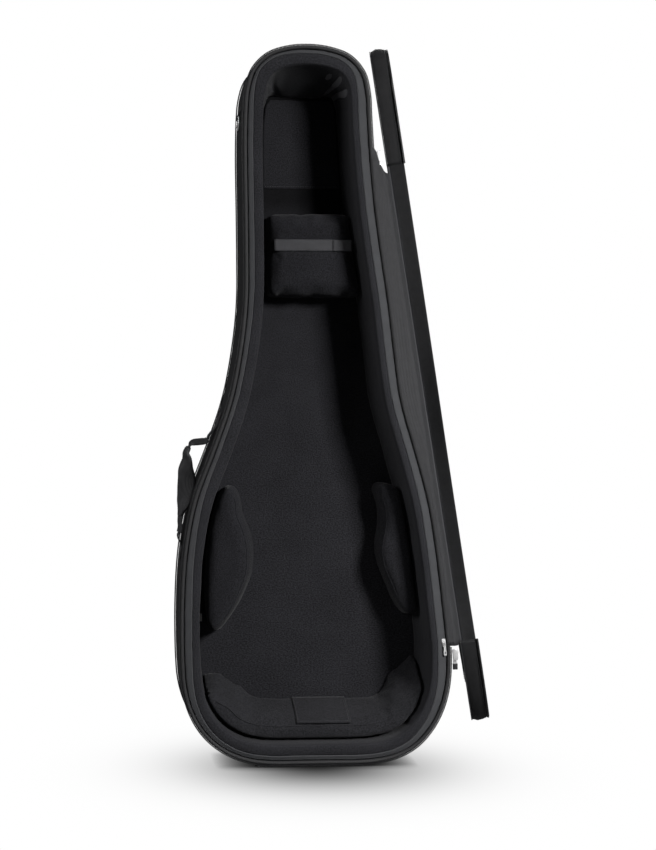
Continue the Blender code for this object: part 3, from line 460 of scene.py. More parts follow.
COVER = cloth("cover_nylon", weave, 1100.0, (0.015, 0.015, 0.016), 0.62, 0.0004, specular=0.2)
FLEECE = brushed("lining_fleece", (0.0148, 0.0148, 0.017), contrast=0.8)
PAD_CLOTH = brushed("pad_fleece", (0.012, 0.012, 0.014), on_uv=False)
# Painted light: the end cushion and its flap get the pad fleece about a third lighter, for the
# cushion's lit front.
CUSHION_CLOTH_PAINTED_LIGHT = brushed("cushion_fleece_painted_light", (0.0155, 0.0155, 0.0175), on_uv=False)
ROLL = brushed("roll_fleece", (0.018, 0.018, 0.0205), 0.0005)
FACING = cloth("facing_tape", rib, 800.0, (0.04, 0.041, 0.044), 0.85, 0.0003, 0.0, 0.35)
ZIP_TAPE = cloth("zip_tape", rib, 1200.0, (0.016, 0.016, 0.017), 0.65, 0.0002, 0.0, 0.3)
HINGE = cloth("hinge_nylon", weave, 1400.0, (0.026, 0.026, 0.028), 0.6, 0.0003, 0.0, 0.4)
WEBBING = cloth("webbing", rib, 500.0, (0.03, 0.03, 0.032), 0.6, 0.0005, 0.0, 0.4)
GRIP = cloth("grip_nylon", weave, 800.0, (0.028, 0.028, 0.03), 0.58, 0.0005, 0.0, 0.45, False)
STRAP_CLOTH = cloth("neck_strap_tape", rib, 900.0, (0.034, 0.034, 0.037), 0.75, 0.0003)
BINDING = cloth("edge_binding", rib, 1000.0, (0.02, 0.02, 0.022), 0.32, 0.0002, specular=0.6)


# %% Hard finishes
def hard(name, colour, rough, metallic=0.0, grain=200.0, depth=0.0001):
    """Plated metal or moulded plastic with a fine unevenness."""
    mat, tree, shader, coords = new_material(name)
    mottle = noise_at(tree, coords.outputs["Object"], grain, 3.0)
    smear = noise_at(tree, coords.outputs["Object"], grain * 0.2, 2.0)
    gloss = node(tree, "MapRange", smear, 0.0, 1.0, rough * 0.75, rough * 1.3)
    tree.links.new(gloss.outputs[0], shader.inputs["Roughness"])
    finish_surface(tree, smear, [c * 0.82 for c in colour], [min(1.0, c * 1.12) for c in colour],
                   mottle, 0.35, depth, {"Metallic": metallic})
    return mat


PLATED = hard("plated_metal", (0.9, 0.9, 0.9), 0.34, 0.75, 300.0, 0.00005)
PLASTIC = hard("moulded_plastic", (0.014, 0.014, 0.015), 0.38, 0.0, 900.0, 0.00012)
COIL = hard("zip_coil_nylon", (0.012, 0.012, 0.013), 0.32, 0.0, 600.0, 0.00005)
RUBBER = hard("foot_rubber", (0.045, 0.045, 0.047), 0.7, 0.0, 500.0, 0.0002)
FOAM = hard("wall_foam", (0.06, 0.06, 0.065), 0.95, 0.0, 700.0, 0.0004)
THREAD = hard("sewing_thread", (0.06, 0.06, 0.064), 0.7, 0.0, 2500.0, 0.0001)
LABEL = hard("woven_label", (0.7, 0.7, 0.68), 0.8, 0.0, 1500.0, 0.0001)


# %% [markdown]
# ## Stitches and zip teeth
# A seam reads as a row of short thread dashes, and a coil zip as a row of small loops. One dash or
# loop of a few dozen faces is modelled, then repeated along the seam at its real pitch.


# %% Repeated small shapes
def frames_along(points, pitch, facing, closed=False):
    """A matrix every pitch metres along a path: X along it and Z towards facing."""
    p = np.array(points, float)
    face = np.broadcast_to(np.array(facing, float), p.shape)
    if closed:
        p = np.vstack([p, p[:1]])
        face = np.vstack([face, face[:1]])
    run = run_lengths(p)
    spots = np.arange(pitch / 2, run[-1], pitch)
    where, step, up = (np.stack([np.interp(at, run, rows[:, k]) for k in range(3)], axis=1)
                       for at, rows in ((spots, p), (spots + pitch / 4, p), (spots, face)))
    made = []
    for w, s, u in zip(where, step, up):
        x = Vector(s - w).normalized()
        y = Vector(u).cross(x).normalized()
        place = Matrix((x, y, x.cross(y))).transposed().to_4x4()
        place.translation = w
        made.append(place)
    return made


def dash(length, thick):
    """One thread dash, lying along X."""
    bm = bmesh.new()
    bmesh.ops.create_icosphere(bm, subdivisions=1, radius=0.5)
    bmesh.ops.scale(bm, vec=(length, thick, thick), verts=bm.verts)
    return bm


def tooth(length, wide, high):
    """One loop of a zip coil, lying across the zip."""
    bm = bmesh.new()
    bmesh.ops.create_cube(bm, size=1.0)
    bmesh.ops.scale(bm, vec=(length, wide, high), verts=bm.verts)
    bmesh.ops.bevel(bm, geom=bm.edges[:], offset=min(length, high) * 0.28, segments=1,
                    profile=0.5, affect="EDGES", material=-1)
    return bm


def repeat(shape, places):
    """Copies of a small shape at many places, in one mesh in progress."""
    shape.verts.index_update()
    corners = np.array([(*v.co, 1.0) for v in shape.verts])
    faces = [[v.index for v in face.verts] for face in shape.faces]
    shape.free()
    mesh = bpy.data.meshes.new("repeated")
    points = np.concatenate([corners @ np.array(place).T for place in places])[:, :3]
    step = len(corners)
    mesh.from_pydata(points.tolist(), [], [[i + step * k for i in face]
                                           for k in range(len(places)) for face in faces])
    bm = bmesh.new()
    bm.from_mesh(mesh)
    bpy.data.meshes.remove(mesh)
    return bm


def merged(parts):
    """Several meshes in progress as one."""
    mesh = bpy.data.meshes.new("parts")
    total = bmesh.new()
    for bm in parts:
        bm.to_mesh(mesh)
        bm.free()
        total.from_mesh(mesh)
    bpy.data.meshes.remove(mesh)
    return total


# %% [markdown]
# ## Walls of the tub
# The wall is a thick foam ring: nylon outside, a soft rounded fleece roll round the opening, and
# fleece down to the floor. A section of a few points is carried round the outline. The outside is
# slack cloth over foam, so it waves a little, most of all where it is waisted; at the head's corners
# the lining has too much cloth for the bend and gathers in small folds.

# %% Outside cover
whole = edge_run(480)


def slack_outside(points, depth_share):
    """How far the outside cloth stands off the foam, round the case."""
    waist = np.exp(-((points[:, 2] - 0.76) / 0.17) ** 2)
    left = points[:, 0] < 0
    wave = ripple(points, 0.07, 11) * (0.0006 + 0.0016 * waist * left)
    return wave * depth_share


cover_section = [(0.0022, -0.047), (0.0004, -0.0472), (0.0, -0.044), (-0.0008, -0.025),
                 (-0.0012, 0.005), (-0.0008, 0.035), (0.0, 0.05), (0.0012, 0.0549), (0.003, 0.0549),
                 (0.0022, 0.05), (0.002, 0.01), (0.0022, -0.03)]
rows = []
for inset, y in cover_section:
    share = max(0.0, 1 - abs(y) / 0.047) if inset < 0.0015 else 0.0
    rows.append(ring(whole, inset, y, push=-slack_outside(ring(whole, inset, y), share)))
piece("side_cover", close_up(sew(rows, tube=True, ring_ends=True)), COVER, "tub",
      ["tub_side_cover"])

# %% [markdown]
# The lining comes over the wall as one cloth. Its profile is drawn through points from the tape's
# seam, over the roll, down the wall to the floor, and smoothed. Its gathers are narrow waves that
# fade in at the head's two corners and low on the right, where the photograph shows them.


# %% Fleece lining of the wall
def gathers(points, inset_share):
    """Depth of the small folds at the head's corners and low on the right."""
    x, z = points[:, 0], points[:, 2]
    spots = ((1.0, 0.058, 1.185, 0.034), (1.0, -0.092, 1.18, 0.034), (0.6, 0.175, 0.085, 0.04))
    full = sum(share * np.exp(-(((x - cx) / 0.03) ** 2 + ((z - cz) / tall) ** 2))
               for share, cx, cz, tall in spots)
    fold = np.sin(whole * 2 * math.pi / 1.15 + 2.2 * ripple(points, 0.05, 5))
    return 0.0026 * fold * full * inset_share


def tape_short(places):
    """How much narrower than at the right side the rim's light tape is, round the case."""
    outward = between_knots(NORMAL, places)
    high = np.clip((ring(places, 0.0, 0.0)[:, 2] - 0.3) / 0.35, 0, 1)
    return (0.0092 * np.clip(outward[:, 1], 0, 1) + 0.0078 * np.clip(-outward[:, 1], 0, 1)
            + np.clip(-outward[:, 0], 0, 1) * (0.0028 + 0.0036 * high))


short = tape_short(whole)
TAPE_FALL = 0.33
profile = [(0.0228, -0.0556, 0.0, 1.0), (0.0242, -0.0568, 0.0, 1.0), (0.0285, -0.0574, 0.0, 0.6),
           (0.0325, -0.056, 0.0, 0.1), (0.0341, -0.052, 0.0, 0.0), (0.0342, -0.044, 0.02, 0.0),
           (0.034, -0.025, 0.22, 0.0), (0.034, 0.0, 0.55, 0.0), (0.034, 0.025, 0.82, 0.0),
           (0.0338, 0.038, 0.97, 0.0), (0.034, 0.0403, 1.0, 0.0)]
profile = smooth_path(profile, 28)
rows = []
for inset, y, draft, narrow in profile:
    share = min(1.0, max(0.0, (y - RIM_Y - 0.006) / 0.03))
    base = ring(whole, inset, y, draft)
    uneven = 0.001 * ripple(base, 0.06, 3) * min(1.0, max(0.2, share))
    rows.append(ring(whole, inset, y + TAPE_FALL * short * narrow ** 2, draft,
                     push=uneven + gathers(base, share) - short * narrow))
backing = [(0.032, 0.04, 1.0, 0.0), (0.0322, 0.0, 0.55, 0.0), (0.0322, -0.044, 0.02, 0.0),
           (0.0306, -0.0522, 0.0, 0.1), (0.0285, -0.0548, 0.0, 0.4), (0.024, -0.054, 0.0, 1.0)]
rows += [ring(whole, inset, y + TAPE_FALL * short * narrow, draft, push=-short * narrow)
         for inset, y, draft, narrow in backing]
piece("wall_lining", close_up(sew(rows, tube=True, ring_ends=True)), ROLL, "tub", ["tub_lining"])

# %% [markdown]
# ## Panels and runs
# The flat parts, such as the back, the floor lining and the lid, are panels: rows of points from the
# left side line to the right one, front and back, up the whole height. Long narrow parts are runs of
# one section along part of the outline.


# %% Panels, runs and round cords
def heights_between(low, high, count):
    """Heights that crowd towards both ends, where the outline turns fastest."""
    t = np.linspace(0, 1, count)
    return low + (high - low) * (0.45 * t + 0.275 * (1 - np.cos(math.pi * t)))


def panel(heights, left, right, front, back, count=41):
    """Closed sheet between two side lines; front and back give the depth at rows of points."""
    rows = []
    for z in heights:
        near = np.zeros((count, 3))
        near[:, 0] = np.linspace(left(z), right(z), count)
        near[:, 2] = z
        far = near[::-1].copy()
        near[:, 1] = front(near)
        far[:, 1] = back(far)
        rows.append(np.vstack([near, far]))
    return close_up(sew(rows, tube=True))


def level(y):
    """Flat side of a panel."""
    return lambda p: np.full(len(p), y)


def uneven_at(y, swell, size, seed):
    """Side of a panel with a slight unevenness."""
    return lambda p: y + swell * ripple(p, size, seed)


def side_line(side, inset, draft=0.0):
    """One side line of a panel."""
    return lambda z: edge_x(side, z, inset, draft)


def section_rows(places, section, push, lean, fall=0.0):
    """Rows of a section of (inset, y) or (inset, y, share of the lean inwards)."""
    rows = []
    for inset, y, *share in section:
        in_by = lean * (share[0] if share else 0.0)
        rows.append(ring(places, inset, y + fall * np.abs(in_by), push=push + in_by))
    return rows


def section_ring(section, push=0.0, lean=0.0, fall=0.0):
    """Closed ring of one section."""
    rows = section_rows(whole, section, push, lean, fall)
    return close_up(sew(rows, tube=True, ring_ends=True))


def section_run(places, section, push=0.0, lean=0.0):
    """Part of a ring of one section, with closed ends."""
    rows = np.array(section_rows(places, section, push, lean))
    return close_up(sew(rows.transpose(1, 0, 2), tube=True))


def rod(points, radius, sides=8, closed=False):
    """Round cord along a path; radius is one value or one for each point."""
    p = np.array(points, float)
    ahead = unit(np.roll(p, -1, axis=0) - np.roll(p, 1, axis=0) if closed
                 else np.gradient(p, axis=0))
    side = np.cross(ahead, [0.0, 1.0, 0.0])
    flat = np.linalg.norm(side, axis=1) < 0.2
    side[flat] = np.cross(ahead[flat], [1.0, 0.0, 0.0])
    side = unit(side)
    up = np.cross(side, ahead)
    size = np.broadcast_to(radius, len(p))[:, None]
    turns = [2 * math.pi * k / sides for k in range(sides)]
    rows = np.array([p + size * (side * math.cos(t) + up * math.sin(t)) for t in turns])
    return close_up(sew(rows.transpose(1, 0, 2), tube=True, ring_ends=closed))


def strap(points, widths, thick, across, soft=0.35, crown=0.0, count=14):
    """Flat or padded strap along a path; its faces swell by crown between the rounded edges."""
    p = np.array(points, float)
    ahead = unit(np.gradient(p, axis=0))
    wide = np.broadcast_to(np.array(across, float), p.shape)
    wide = unit(wide - ahead * (wide * ahead).sum(axis=1)[:, None])
    up = np.cross(wide, ahead)
    half = np.broadcast_to(widths, len(p)) / 2
    depth = np.broadcast_to(thick, len(p)) / 2
    u = np.linspace(-1, 1, count)
    rise = (1 - np.abs(u) ** 6) ** soft
    swell = crown * (1 - u ** 2)
    rows = []
    for k in range(len(p)):
        middle = p[k] + np.outer(u * half[k], wide[k])
        thickness = np.outer(rise * depth[k] + swell, up[k])
        rows.append(np.vstack([middle + thickness, (middle - thickness)[::-1][1:-1]]))
    return close_up(sew(rows, tube=True))


COIL_PITCH = 0.0023


def stitch_rows(name, runs, body, pose=None, pitch=0.0042, size=(0.003, 0.00075)):
    """Thread dashes along several runs of (points, facing, closed), as one piece."""
    places = []
    for points, facing, closed in runs:
        places += frames_along(points, pitch, facing, closed)
    return piece(name, repeat(dash(*size), places), THREAD, body, pose=pose)


def zip_teeth(name, points, facing, node_name, body, pose=None):
    """Half a coil zip: loops at their pitch on a thin cord."""
    teeth = repeat(tooth(0.0013, 0.0029, 0.0025), frames_along(points, COIL_PITCH, facing))
    return piece(name, merged([teeth, rod(points, 0.0008, 6)]), COIL, body, [node_name], pose=pose,
                 smooth=False)


# %% [markdown]
# ## Studio floor
# The camera sees the floor as white paper with a painted shadow: a soft oval of painted shade under
# the case, darker still where the case touches it. For every other ray it is a plain grey floor.

# %% Floor
bm = bmesh.new()
bmesh.ops.create_circle(bm, cap_ends=True, segments=96, radius=6.0)
floor = piece("floor", bm, hard("studio_floor", (0.16, 0.16, 0.16), 0.9), None, smooth=False)
ground = floor.data.materials[0].node_tree
from_base = node(ground, "VectorMath", node(ground, "TexCoord").outputs["Object"],
                 (0.003, -0.048, 0.0), operation="SUBTRACT")
spread = node(ground, "VectorMath", from_base.outputs[0], (0.198, 0.16, 1.0), operation="DIVIDE")
far = node(ground, "VectorMath", spread.outputs[0], operation="LENGTH").outputs["Value"]
# Painted shadow: a soft oval round the base that dims the floor's glow, most at its middle.
painted_shadow_pool = calc(ground, "EXPONENT", calc(ground, "MULTIPLY", calc(ground, "POWER", far, 2.0), -1.0))
glow_under_painted_shadow = calc(ground, "SUBTRACT", 1.0, calc(ground, "MULTIPLY", painted_shadow_pool, 0.955))
# Painted contact shade: an occlusion mask 3 cm deep dims the glow where the case meets the floor.
painted_contact_shade = node(ground, "AmbientOcclusion", samples=16)
painted_contact_shade.inputs["Distance"].default_value = 0.03
glow = node(ground, "Emission")
ground.links.new(calc(ground, "MULTIPLY", glow_under_painted_shadow, painted_contact_shade.outputs["AO"]), glow.inputs["Strength"])
either = node(ground, "MixShader", node(ground, "LightPath").outputs["Is Camera Ray"],
              ground.nodes["Principled BSDF"].outputs[0], glow.outputs[0])
ground.links.new(either.outputs[0], ground.nodes["Material Output"].inputs["Surface"])

# %% [markdown]
# ## Rim, back and floor of the tub
# From the outside in, the photograph shows a grey tape, the dark line of the zip, the light ribbed
# tape with a row of stitches along its inner edge, and the fleece roll. The floor of the tub is one
# sheet of fleece, a little uneven where the foam under it isn't flat.

# %% Rim tapes
piece("rim_zip_tape", section_ring(
    [(-0.0002, RIM_Y + 0.0054), (0.0006, RIM_Y + 0.0038), (0.002, RIM_Y + 0.0031),
     (0.0045, RIM_Y + 0.0032), (0.0058, RIM_Y + 0.004), (0.0065, RIM_Y + 0.0062),
     (0.006, RIM_Y + 0.0088), (0.003, RIM_Y + 0.0102), (0.0004, RIM_Y + 0.0102),
     (-0.0001, RIM_Y + 0.008)]), ZIP_TAPE, "tub", ["rim_binding"])
facing_wave = 0.0003 * ripple(ring(whole, 0.015, RIM_Y), 0.03, 21)
piece("rim_facing", section_ring(
    [(0.0068, RIM_Y + 0.0082, 0.0), (0.0076, RIM_Y + 0.0062, 0.0), (0.01, RIM_Y + 0.005, 0.1),
     (0.015, RIM_Y + 0.003, 0.45), (0.02, RIM_Y + 0.0012, 0.8), (0.0224, RIM_Y + 0.0004, 1.0),
     (0.0234, RIM_Y + 0.001, 1.0), (0.0228, RIM_Y + 0.003, 1.0), (0.015, RIM_Y + 0.0062, 0.45),
     (0.008, RIM_Y + 0.0096, 0.0)], facing_wave, -short, TAPE_FALL), FACING, "tub", ["rim_facing_tape"])
seam = ring(whole, 0.0208, RIM_Y + 0.0007 + TAPE_FALL * 0.87 * short, push=-short * 0.87)
outer_seam = ring(whole, 0.0088, RIM_Y + 0.0053)
tape_seam = ring(whole, 0.0034, RIM_Y + 0.003)
stitch_rows("rim_stitches", [(seam, (0, -1, 0), True), (outer_seam, (0, -1, 0), True)], "tub")
stitch_rows("zip_stitches", [(tape_seam, (0, -1, 0), True)], "tub", size=(0.0028, 0.0006))
zipped = edge_run(480, ZIP_FIRST, ZIP_LAST)
coil_path = ring(zipped, -0.0014, RIM_Y + 0.005)
outwards = between_knots(NORMAL, zipped)
outwards = np.stack([outwards[:, 0], np.zeros(len(zipped)), outwards[:, 1]], axis=1)
zip_teeth("tub_zip_teeth", coil_path, outwards, "tub_zip_coil", "tub")

# %% Back panel and floor lining
FLOOR_CLOTH = FLEECE.copy()
FLOOR_CLOTH.name = "floor_fleece_painted_shade"
floor_nodes = FLOOR_CLOTH.node_tree
shader = floor_nodes.nodes["Principled BSDF"]
plain = shader.inputs["Base Color"].links[0].from_socket
# Painted shade: from z 0.93 to 0.985 the floor fleece darkens to 0.28 of its colour, and stays so
# above, over the floor above the neck cushion and up into the head.
height_up = node(floor_nodes, "SeparateXYZ", node(floor_nodes, "TexCoord").outputs["Object"])
painted_shade_by_height = node(floor_nodes, "MapRange", height_up.outputs[2], 0.93, 0.985, 1.0, 0.28)
painted_shade_colour = node(floor_nodes, "VectorMath", plain, operation="SCALE")
floor_nodes.links.new(painted_shade_by_height.outputs[0], painted_shade_colour.inputs["Scale"])
floor_nodes.links.new(painted_shade_colour.outputs[0], shader.inputs["Base Color"])
piece("back_cover", panel(
    heights_between(0.0062, 1.2388, 110), side_line(-1, 0.0002), side_line(1, 0.0002),
    level(BACK_Y - 0.002), uneven_at(BACK_Y - 0.0002, 0.0003, 0.09, 31)), COVER, "tub",
    ["tub_back_cover"])
pipe_path = ring(whole, -0.0014, BACK_Y - 0.0014)
piece("back_piping", rod(pipe_path, 0.0012, 8, True), BINDING, "tub", ["tub_back_piping"])


def floor_front(p):
    """The floor's fleece, with slow waves."""
    slow = 0.0007 * ripple(p, 0.16, 41) + 0.0003 * ripple(p, 0.05, 42)
    return FLOOR_Y - 0.0006 + slow


piece("floor_lining", panel(
    heights_between(0.04, 1.204, 120), side_line(-1, 0.03), side_line(1, 0.03),
    floor_front, level(FLOOR_Y + 0.0018), 49), FLOOR_CLOTH, "tub")

# %% [markdown]
# ## Double fold
# On the hinge side the cloth runs on from the rim to a straight fold, turns back along the side and
# folds again into the lid. It is one gusset with fine ridges along it, cut in two at the strip's
# middle: each half bends over one fold.

# %% Fold lines and poses
LID_DEPTH = 0.032
INNER_FOLD_Y = RIM_Y + 0.004
OUTER_FOLD_Y = INNER_FOLD_Y - LID_DEPTH
FOLD_LOW = (0.2498, 0.185)
FOLD_SLOPE = -0.1549
FOLD_AXIS = Vector((FOLD_SLOPE, 0.0, 1.0)).normalized()


def fold_x(z):
    """Where the straight fold line lies at a height, in the closed case."""
    return FOLD_LOW[0] + FOLD_SLOPE * (z - FOLD_LOW[1])


def turn_about(point, axis, degrees):
    """Rotation about a line."""
    move = Matrix.Translation(point)
    return move @ Matrix.Rotation(math.radians(degrees), 4, axis) @ move.inverted()


INNER_PIVOT = Vector((fold_x(0.615), INNER_FOLD_Y, 0.615))
OUTER_CLOSED = Vector((fold_x(0.615), OUTER_FOLD_Y, 0.615))
STRIP_POSE = turn_about(INNER_PIVOT, FOLD_AXIS, 155.0)
LID_POSE = STRIP_POSE @ turn_about(OUTER_CLOSED, FOLD_AXIS, 101.5)


RIDGE_PITCH = 0.005


def gusset(paths, half):
    """Cloth band through cross paths at rising heights, with ridges that run up it."""
    rows = []
    for path in paths:
        p = smooth_path(path, 34)
        out = unit(np.cross(np.array(FOLD_AXIS), unit(np.gradient(p, axis=0))))
        run = run_lengths(p)
        ridge = np.abs(np.cos(math.pi * run / RIDGE_PITCH)) ** 6
        ridge *= np.clip(np.minimum(run, run[-1] - run) / 0.002, 0, 1)
        swell = half + 0.0005 * ridge + 0.0002 * ripple(p, 0.045, 51)
        rows.append(np.vstack([p + out * swell[:, None], (p - out * swell[:, None])[::-1]]))
    return close_up(sew(rows, tube=True))


inner_paths, outer_paths = [], []
for z in np.linspace(0.2065, 1.0235, 96):
    fold = fold_x(z)
    rise = max(0.0, (z - 0.98) / 0.0435)
    web = [Vector((x - 0.1 * up * rise, INNER_FOLD_Y, z + up * rise))
           for up, x in zip((0.042, 0.042, 0.036, 0.018, 0.006),
                            np.linspace(edge_x(1, z) - 0.003, fold - 0.003, 5))]
    strip = [STRIP_POSE @ Vector((fold, INNER_FOLD_Y - s, z)) for s in (0.003, 0.009, 0.0168)]
    inner_paths.append(web + strip)
    strip = [STRIP_POSE @ Vector((fold, INNER_FOLD_Y - s, z)) for s in (0.0152, 0.022, 0.029)]
    web = [LID_POSE @ Vector((x, OUTER_FOLD_Y, z)) for x in np.linspace(fold - 0.003,
                                                                        edge_x(1, z) - 0.006, 5)]
    outer_paths.append(strip + web)
inner_gusset = piece("inner_gusset", gusset(inner_paths, 0.001), HINGE, None,
                     ["hinge_web_tub", "hinge_strip"])
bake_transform(inner_gusset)
outer_gusset = piece("outer_gusset", gusset(outer_paths, 0.0008), HINGE, None, ["hinge_web_lid"])
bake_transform(outer_gusset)

# %% [markdown]
# ## Lid
# The lid is sewn shut, in the closed case, and then swung to the pose of the photograph with the two
# turns of the fold. It has a shallow wall that carries the other half of the zip, a thin quilted
# panel and a pocket on its outside.

# %% Lid shell
LID_OUT = OUTER_FOLD_Y - 0.0011
lid_rows = heights_between(0.0108, 1.2342, 110)
piece("lid_cover_cloth", panel(
    lid_rows, side_line(-1, 0.0002), side_line(1, 0.0002), uneven_at(LID_OUT, 0.0002, 0.08, 61),
    level(LID_OUT + 0.0013)), COVER, "lid", ["lid_cover"], pose=LID_POSE)
piece("lid_lining_cloth", panel(
    lid_rows, side_line(-1, 0.0018), side_line(1, 0.0018), level(LID_OUT + 0.0048),
    uneven_at(LID_OUT + 0.0064, 0.0005, 0.11, 62)), FLEECE, "lid", ["lid_lining"], pose=LID_POSE)
lid_slack = 0.0007 * ripple(ring(zipped, 0.0, LID_OUT), 0.08, 63)
dome = 0.006 * np.abs(between_knots(NORMAL, zipped)[:, 1]) ** 2
piece("lid_wall_cloth", section_run(zipped, [
    (0.0003, LID_OUT + 0.0004, 0.75), (-0.0004, LID_OUT + 0.003, 0.5),
    (-0.0009, LID_OUT + 0.011, 0.0), (-0.0008, LID_OUT + 0.021, 0.25),
    (0.0, LID_OUT + 0.03, 0.8), (0.0004, LID_OUT + 0.0322, 1.0),
    (0.0014, LID_OUT + 0.0322, 1.0), (0.0018, LID_OUT + 0.03, 0.8),
    (0.001, LID_OUT + 0.021, 0.25), (0.0009, LID_OUT + 0.011, 0.0),
    (0.0016, LID_OUT + 0.003, 0.5), (0.0016, LID_OUT + 0.0004, 0.75)],
    lid_slack, dome), COVER, "lid", ["lid_wall"], pose=LID_POSE)
piece("lid_zip_tape", section_run(zipped, [
    (-0.001, LID_OUT + 0.029, 0.75), (-0.0006, LID_OUT + 0.0284, 0.7),
    (0.0003, LID_OUT + 0.0286, 0.7), (0.0003, LID_OUT + 0.0326, 1.0),
    (-0.0006, LID_OUT + 0.0328, 1.0), (-0.0011, LID_OUT + 0.0318, 1.0)], 0.0, dome),
    ZIP_TAPE, "lid", pose=LID_POSE)
lid_pipe_path = ring(zipped, -0.0016, LID_OUT + 0.001, push=dome * 0.7)
piece("lid_piping_cord", rod(lid_pipe_path, 0.0012, 8), BINDING, "lid", ["lid_piping"],
      pose=LID_POSE)
lid_coil = ring(zipped, -0.0017, RIM_Y + 0.0016, push=dome)
zip_teeth("lid_zip_teeth", lid_coil, outwards, "lid_zip_coil", "lid", LID_POSE)
lid_seam = ring(zipped, -0.0012, LID_OUT + 0.0262, push=dome * 0.55)
stitch_rows("lid_stitches", [(lid_seam, outwards, False)], "lid", LID_POSE)

# %% Lid pocket
POCKET_OUT = LID_OUT - 0.0004
POCKET_IN = {-1: 0.05, 1: 0.055}
POCKET_LOW_Z, POCKET_HIGH_Z = 0.1005, 0.5195


def pocket_line(side, inset=0.0):
    """One side line of the pocket."""
    return lambda z: edge_x(side, z) - side * (POCKET_IN[side] + inset)


def pocket_front(p):
    """Fullness of the pocket, flat along its sewn edge."""
    left, right = p[:, 0].min(), p[:, 0].max()
    u = 2 * (p[:, 0] - left) / (right - left) - 1
    v = 2 * (p[:, 2] - 0.1) / 0.42 - 1
    full_at = (1 - np.abs(u) ** 4) * (1 - np.abs(v) ** 6)
    return POCKET_OUT - 0.0008 - 0.0022 * full_at - 0.0006 * full_at * ripple(p, 0.07, 71)


piece("lid_pocket_cloth", panel(
    np.linspace(POCKET_LOW_Z, POCKET_HIGH_Z, 64), pocket_line(-1), pocket_line(1), pocket_front,
    level(POCKET_OUT)), COVER, "lid", ["lid_pocket"], pose=LID_POSE)
border = []
for side, low_z, high_z in ((-1, 0.105, 0.515), (1, 0.515, 0.105)):
    border += [(pocket_line(side, 0.004)(z), POCKET_OUT - 0.0014, z)
               for z in np.linspace(low_z, high_z, 40)]
stitch_rows("pocket_stitches", [(border, (0, -1, 0), True)], "lid", LID_POSE)
zip_z = 0.485
zip_x0, zip_x1 = edge_x(-1, zip_z) + 0.062, edge_x(1, zip_z) - 0.067
zip_y = POCKET_OUT - 0.0038
tape_path = [(x, zip_y, zip_z) for x in np.linspace(zip_x0, zip_x1, 24)]
piece("pocket_tape", strap(tape_path, 0.026, 0.0014, (0, 0, 1)), ZIP_TAPE, "lid",
      ["pocket_zip_tape"], pose=LID_POSE)
coil_line = [(x, zip_y - 0.002, zip_z) for x in np.linspace(zip_x0 + 0.006, zip_x1 - 0.006, 40)]
zip_teeth("pocket_teeth", coil_line, (0, -1, 0), "pocket_zip_coil", "lid", LID_POSE)

# %% [markdown]
# ## Padding inside
# The cushions are sewn bags stuffed with foam. Each starts a little small, is remeshed into even
# squares, and is blown up by a short cloth simulation while its glued back stays put. How far a
# point may move is capped, so that the cushion keeps to its place between the walls.


# %% Stuffing
SEAT_Y = FLOOR_Y - 0.001
GLUED_Y = SEAT_Y - 0.004


def snug(obj, points, lift):
    """Moves points of a path to the nearest place on a piece, lifted off its surface."""
    tree = BVHTree.FromObject(obj, bpy.context.evaluated_depsgraph_get())
    made = []
    for p in points:
        spot, normal, _, _ = tree.find_nearest(Vector(p))
        made.append(spot + normal * lift)
    return np.array(made)


def stuffed(name, bm, material, body, stands_for, voxel, pressure, cap, limit):
    """Cushion blown up by simulation and kept in place by limit, which takes its points."""
    obj = piece(name, bm, material, None)
    mod = obj.modifiers.new("even", "REMESH")
    mod.mode = "VOXEL"
    mod.voxel_size = voxel
    view = bpy.context.evaluated_depsgraph_get()
    even = bpy.data.meshes.new_from_object(obj.evaluated_get(view))
    obj.modifiers.clear()
    obj.data = even
    start = np.array([v.co for v in even.vertices])
    end = start.copy()
    group = obj.vertex_groups.new(name="held")
    group.add([int(i) for i in np.nonzero(start[:, 1] > GLUED_Y)[0]], 1.0, "REPLACE")
    mod = obj.modifiers.new("air", "CLOTH")
    for key, value in (("quality", 6), ("mass", 0.15), ("tension_stiffness", 18),
                       ("compression_stiffness", 12), ("bending_stiffness", 0.4),
                       ("use_pressure", True), ("uniform_pressure_force", pressure),
                       ("vertex_group_mass", "held")):
        setattr(mod.settings, key, value)
    mod.settings.effector_weights.gravity = 0.0
    for frame_number in range(1, 21):
        bpy.context.scene.frame_set(frame_number)
    blown = obj.evaluated_get(bpy.context.evaluated_depsgraph_get()).to_mesh()
    end = np.array([v.co for v in blown.vertices])
    obj.evaluated_get(bpy.context.evaluated_depsgraph_get()).to_mesh_clear()
    obj.modifiers.clear()
    obj.vertex_groups.clear()
    bpy.context.scene.frame_set(1)
    step = end - start
    far = np.linalg.norm(step, axis=1)[:, None]
    end = limit(start + step * np.minimum(1.0, cap / np.maximum(far, 1e-9)))
    even.vertices.foreach_set("co", end.ravel())
    even.update()
    bm = bmesh.new()
    bm.from_mesh(even)
    bmesh.ops.smooth_vert(bm, verts=bm.verts, factor=0.5, use_axis_x=True, use_axis_y=True,
                          use_axis_z=True)
    close_up(bm).to_mesh(even)
    bm.free()
    even.shade_smooth()
    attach(obj, body)
    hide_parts(*stands_for)
    return soften(obj)


def bag(loops, count=64):
    """Closed form through (loop, y) pairs, each loop a list of (x, z)."""
    rows = []
    for loop, y in loops:
        flat = smooth_path(loop, count, True)
        rows.append(np.stack([flat[:, 0], np.full(count, y), flat[:, 1]], axis=1))
    return close_up(sew(rows, tube=True))


